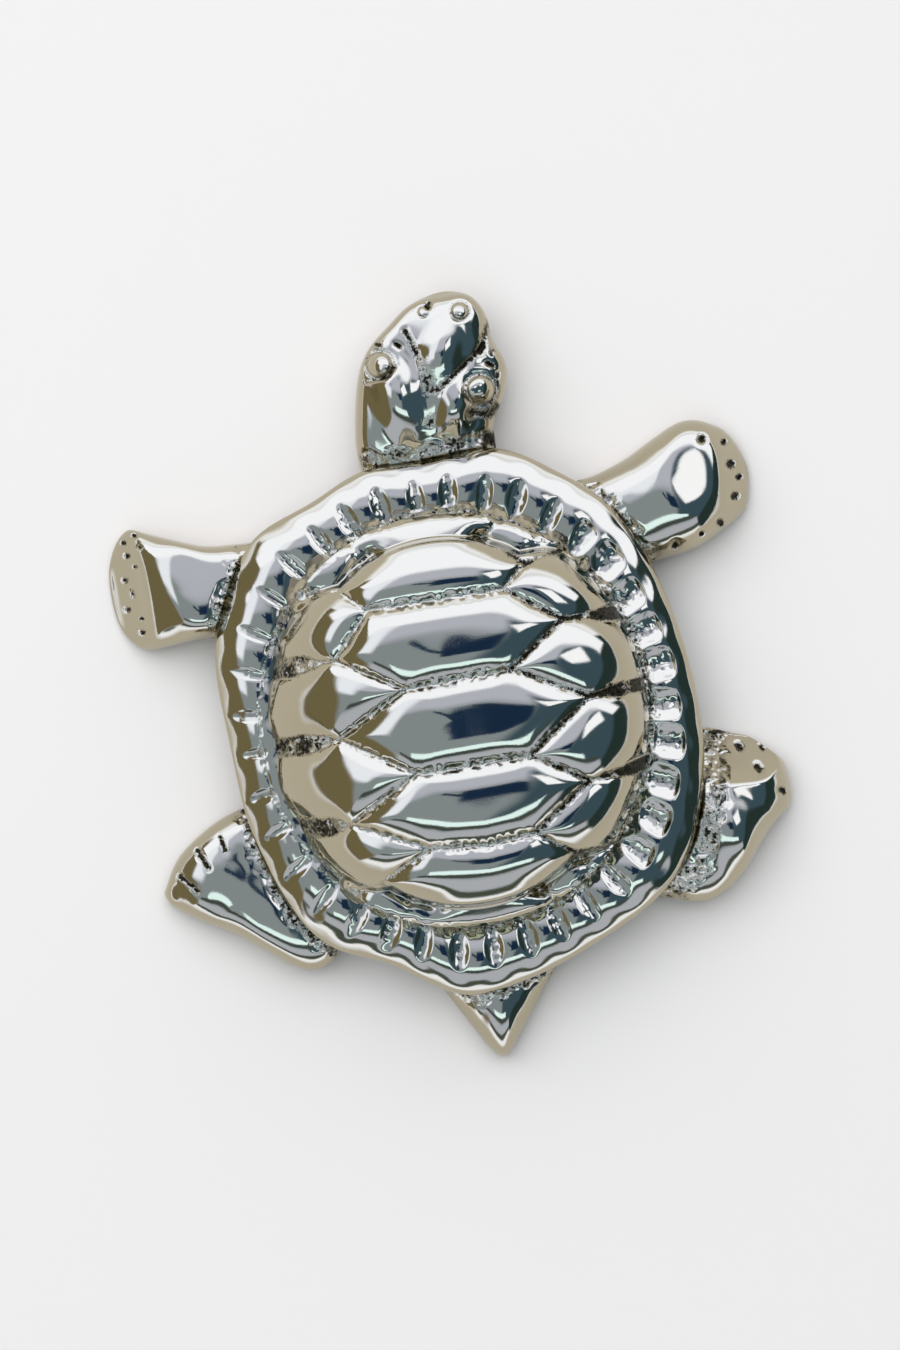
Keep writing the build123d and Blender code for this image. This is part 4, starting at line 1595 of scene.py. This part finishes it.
@dataclass
class FeltPad:
    """Felt sheet under the belly plate, with a softly crushed edge."""

    plan: ShellPlan = SHELL
    thickness: float = 1.2
    inset: float = 6.35
    soft: float = 0.4
    pole_gap: float = 0.02
    columns: int = 240
    rows: int = 30
    edge_rows: int = 7

    def build(self) -> Object:
        """Builds the closed pad: rows run from the top's middle over the rounded edge to the underside's.

        Returns:
            The pad's object.
        """
        angle = np.linspace(0.0, FULL_TURN, self.columns, endpoint=False)
        outer = self.plan.radius(angle, self.inset)
        arc = np.linspace(0.0, QUARTER_TURN, self.edge_rows)[1:, None]
        top = (outer - self.soft) * np.linspace(self.pole_gap, 1.0, self.rows)[:, None]
        roll = outer - self.soft + self.soft * np.sin(arc)
        radius = np.vstack((top, roll, roll[::-1], top[::-1]))
        drop = self.soft * (1.0 - np.cos(arc)) + 0.0 * outer
        level = np.vstack((0.0 * top + self.thickness, self.thickness - drop, drop[::-1], 0.0 * top))
        return grid_object("felt_sheet", self.plan.points(angle, radius, level), {}, (True, True))

    def make(self, felt: Material) -> None:
        """Builds the pad and dresses it in place of its solid.

        Args:
            felt: the pad's material.
        """
        pad = self.build()
        dress(pad, "felt_pad", felt)


# Table, light and camera


@dataclass(frozen=True)
class Panel:
    """A soft-edged rectangle of light or shade in the room, seen from the object.

    Turn is degrees from the picture's right towards its top, and climb is degrees above the horizon.
    """

    turn: float
    climb: float
    half_width: float
    half_height: float
    soft: float
    colour: Triple
    # Least depth that a ray is divided by, and how far ahead it has to point to meet the panel
    least_depth: float = 0.001
    ahead_from: Pair = (0.0, 0.02)

    def share(self, graph: Graph, ray: Value, picture: tuple[Array, Array]) -> Value:
        """How much of the panel a ray meets.

        The ray is measured along the panel's middle, across it and up it; across and up are divided by the
        middle, as on a flat sheet, and each passes a soft window.

        Args:
            graph: the world's graph.
            ray: the ray's direction.
            picture: plan directions of the picture's right and top.

        Returns:
            The share from 0 to 1.
        """
        turn, climb = math.radians(self.turn), math.radians(self.climb)
        plan = picture[0] * math.cos(turn) + picture[1] * math.sin(turn)
        middle = np.array([*(plan * math.cos(climb)), math.sin(climb)])
        upward = np.array([*(-plan * math.sin(climb)), math.cos(climb)])
        sideways = np.cross(upward, middle)
        dot = {"operation": "DOT_PRODUCT"}
        ahead, *others = (
            graph.node("ShaderNodeVectorMath", dot, {0: ray, 1: tuple(axis)}, "Value")
            for axis in (middle, sideways, upward)
        )
        depth = ahead.larger(self.least_depth)
        facing = ahead.over(*self.ahead_from)
        for part, half in zip(others, (self.half_width, self.half_height)):
            reach = math.tan(math.radians(half))
            edge = math.tan(math.radians(self.soft))
            spread = (part / depth) ** 2.0
            facing = facing * spread.over((reach + edge) ** 2, max(reach - edge, 0.0) ** 2)
        return facing


PANELS = (
    Panel(90.0, 62.0, 50.0, 14.0, 8.0, (0.46, 0.47, 0.52)),
    Panel(150.0, 38.0, 30.0, 11.0, 6.0, (0.86, 0.88, 0.92)),
    Panel(180.0, 12.0, 42.0, 14.0, 3.0, (0.150, 0.120, 0.055)),
    Panel(-8.0, 45.0, 36.0, 31.0, 7.0, (0.042, 0.074, 0.090)),
    Panel(0.0, 12.0, 44.0, 14.0, 4.0, (0.018, 0.032, 0.028)),
    Panel(90.0, 32.0, 58.0, 17.0, 5.0, (0.98, 0.98, 1.0)),
    Panel(-90.0, 56.0, 30.0, 5.0, 1.5, (0.80, 0.98, 0.92)),
    Panel(-90.0, 46.0, 44.0, 4.0, 1.5, (0.05, 0.06, 0.05)),
    Panel(-90.0, 30.0, 46.0, 9.0, 4.0, (0.42, 0.43, 0.45)),
    Panel(-90.0, 16.0, 46.0, 5.0, 2.0, (0.06, 0.07, 0.05)),
    Panel(2.0, 83.0, 8.5, 7.5, 1.5, (0.008, 0.022, 0.050)),
    Panel(150.0, 84.0, 1.6, 7.0, 0.8, (0.010, 0.026, 0.055)),
    Panel(30.0, 54.0, 9.0, 11.0, 2.0, (1.0, 1.0, 1.0)),
)


@dataclass
class Studio:
    """Pale table, soft light and the camera straight above."""

    tilt: float = 10.0
    aim: Pair = (1.38, -5.97)
    distance: float = 620.0
    frame_height: float = 162.0
    sensor: float = 36.0
    view_depth: float = 10.0
    table_size: float = 2.4
    horizon: Triple = (0.88, 0.87, 0.85)
    ceiling: Triple = (0.230, 0.260, 0.262)
    ceiling_from: Pair = (0.10, 0.40)
    # Metres to the picture's right, towards its top and above the table
    lamp_place: Triple = (-0.24, 0.34, 1.05)
    lamp_size: float = 1.5
    lamp_watts: float = 12.0

    def picture_axes(self) -> tuple[Array, Array]:
        """Plan directions of the picture's right and top."""
        lean = math.radians(self.tilt)
        return np.array([-math.cos(lean), math.sin(lean)]), np.array([-math.sin(lean), -math.cos(lean)])

    def table(self) -> None:
        """Builds the tabletop."""
        half = self.table_size / 2.0
        corners = [(-half, -half, 0.0), (half, -half, 0.0), (half, half, 0.0), (-half, half, 0.0)]
        mesh = bpy.data.meshes.new("table")
        mesh.from_pydata(corners, [], [(0, 1, 2, 3)])
        mesh.materials.append(PaleTable().material())
        in_scene("table", mesh)

    def camera(self) -> None:
        """Sets the camera above the shell, turned so that the body leans as in the picture."""
        data = bpy.data.cameras.new("camera")
        data.sensor_width = self.sensor
        data.lens = data.sensor_width * self.distance / self.frame_height
        data.clip_end = self.view_depth
        eye = in_scene("camera", data)
        eye.location = (self.aim[0] * MM, self.aim[1] * MM, self.distance * MM)
        eye.rotation_euler = (0.0, 0.0, math.radians(180.0 - self.tilt))
        bpy.context.scene.camera = eye

    def lamp(self) -> None:
        """Adds a soft square lamp that faces the shell and isn't mirrored in it."""
        data = bpy.data.lights.new("key", "AREA")
        data.shape = "SQUARE"
        data.size = self.lamp_size
        data.energy = self.lamp_watts
        lamp = in_scene("key", data)
        lamp.visible_glossy = False
        right, upward = self.picture_axes()
        side, up, rise = self.lamp_place
        place = np.array([*(right * side + upward * up), rise])
        lamp.location = place
        x, y, z = place / np.linalg.norm(place)
        lamp.rotation_euler = (math.acos(z), 0.0, math.atan2(y, x) + QUARTER_TURN)

    def world(self) -> None:
        """Sets the room: a pale horizon, a grey ceiling, and soft panels of light and shade about it."""
        world = bpy.data.worlds.new("room")
        bpy.context.scene.world = world
        graph = Graph(world)
        ray = graph.node("ShaderNodeTexCoord", {}, {}, "Generated")
        high = graph.node("ShaderNodeSeparateXYZ", {}, {0: ray}, "Z")
        room = graph.mix(high.over(*self.ceiling_from), self.horizon, self.ceiling)
        for panel in PANELS:
            share = panel.share(graph, ray, self.picture_axes())
            room = graph.mix(share, room, panel.colour)
        background = graph.node("ShaderNodeBackground", {}, {"Color": room, "Strength": 1.0})
        graph.node("ShaderNodeOutputWorld", {}, {"Surface": background})

    def build(self) -> None:
        """Builds table, camera, lamp and room, shown without tone mapping."""
        bpy.context.scene.view_settings.view_transform = "Standard"
        self.table()
        self.camera()
        self.world()
        self.lamp()


def main() -> None:
    """Builds every piece in order and reports it."""
    logging.basicConfig(level=logging.INFO, format="%(message)s")
    Studio().build()
    casting = PolishedCasting().material()
    Carapace().make(casting)
    for limb in LIMBS:
        limb.make(casting)
    FeltPad().make(Felt().material())
    for node, finish in (("belly_plate", SatinCasting()), ("shell_screws", PlatedSteel())):
        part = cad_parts[node]
        part.data.materials.clear()
        part.data.materials.append(finish.material())
        LOG.info("%s: %d faces", node, len(part.data.polygons))


if __name__ == "__main__":
    main()
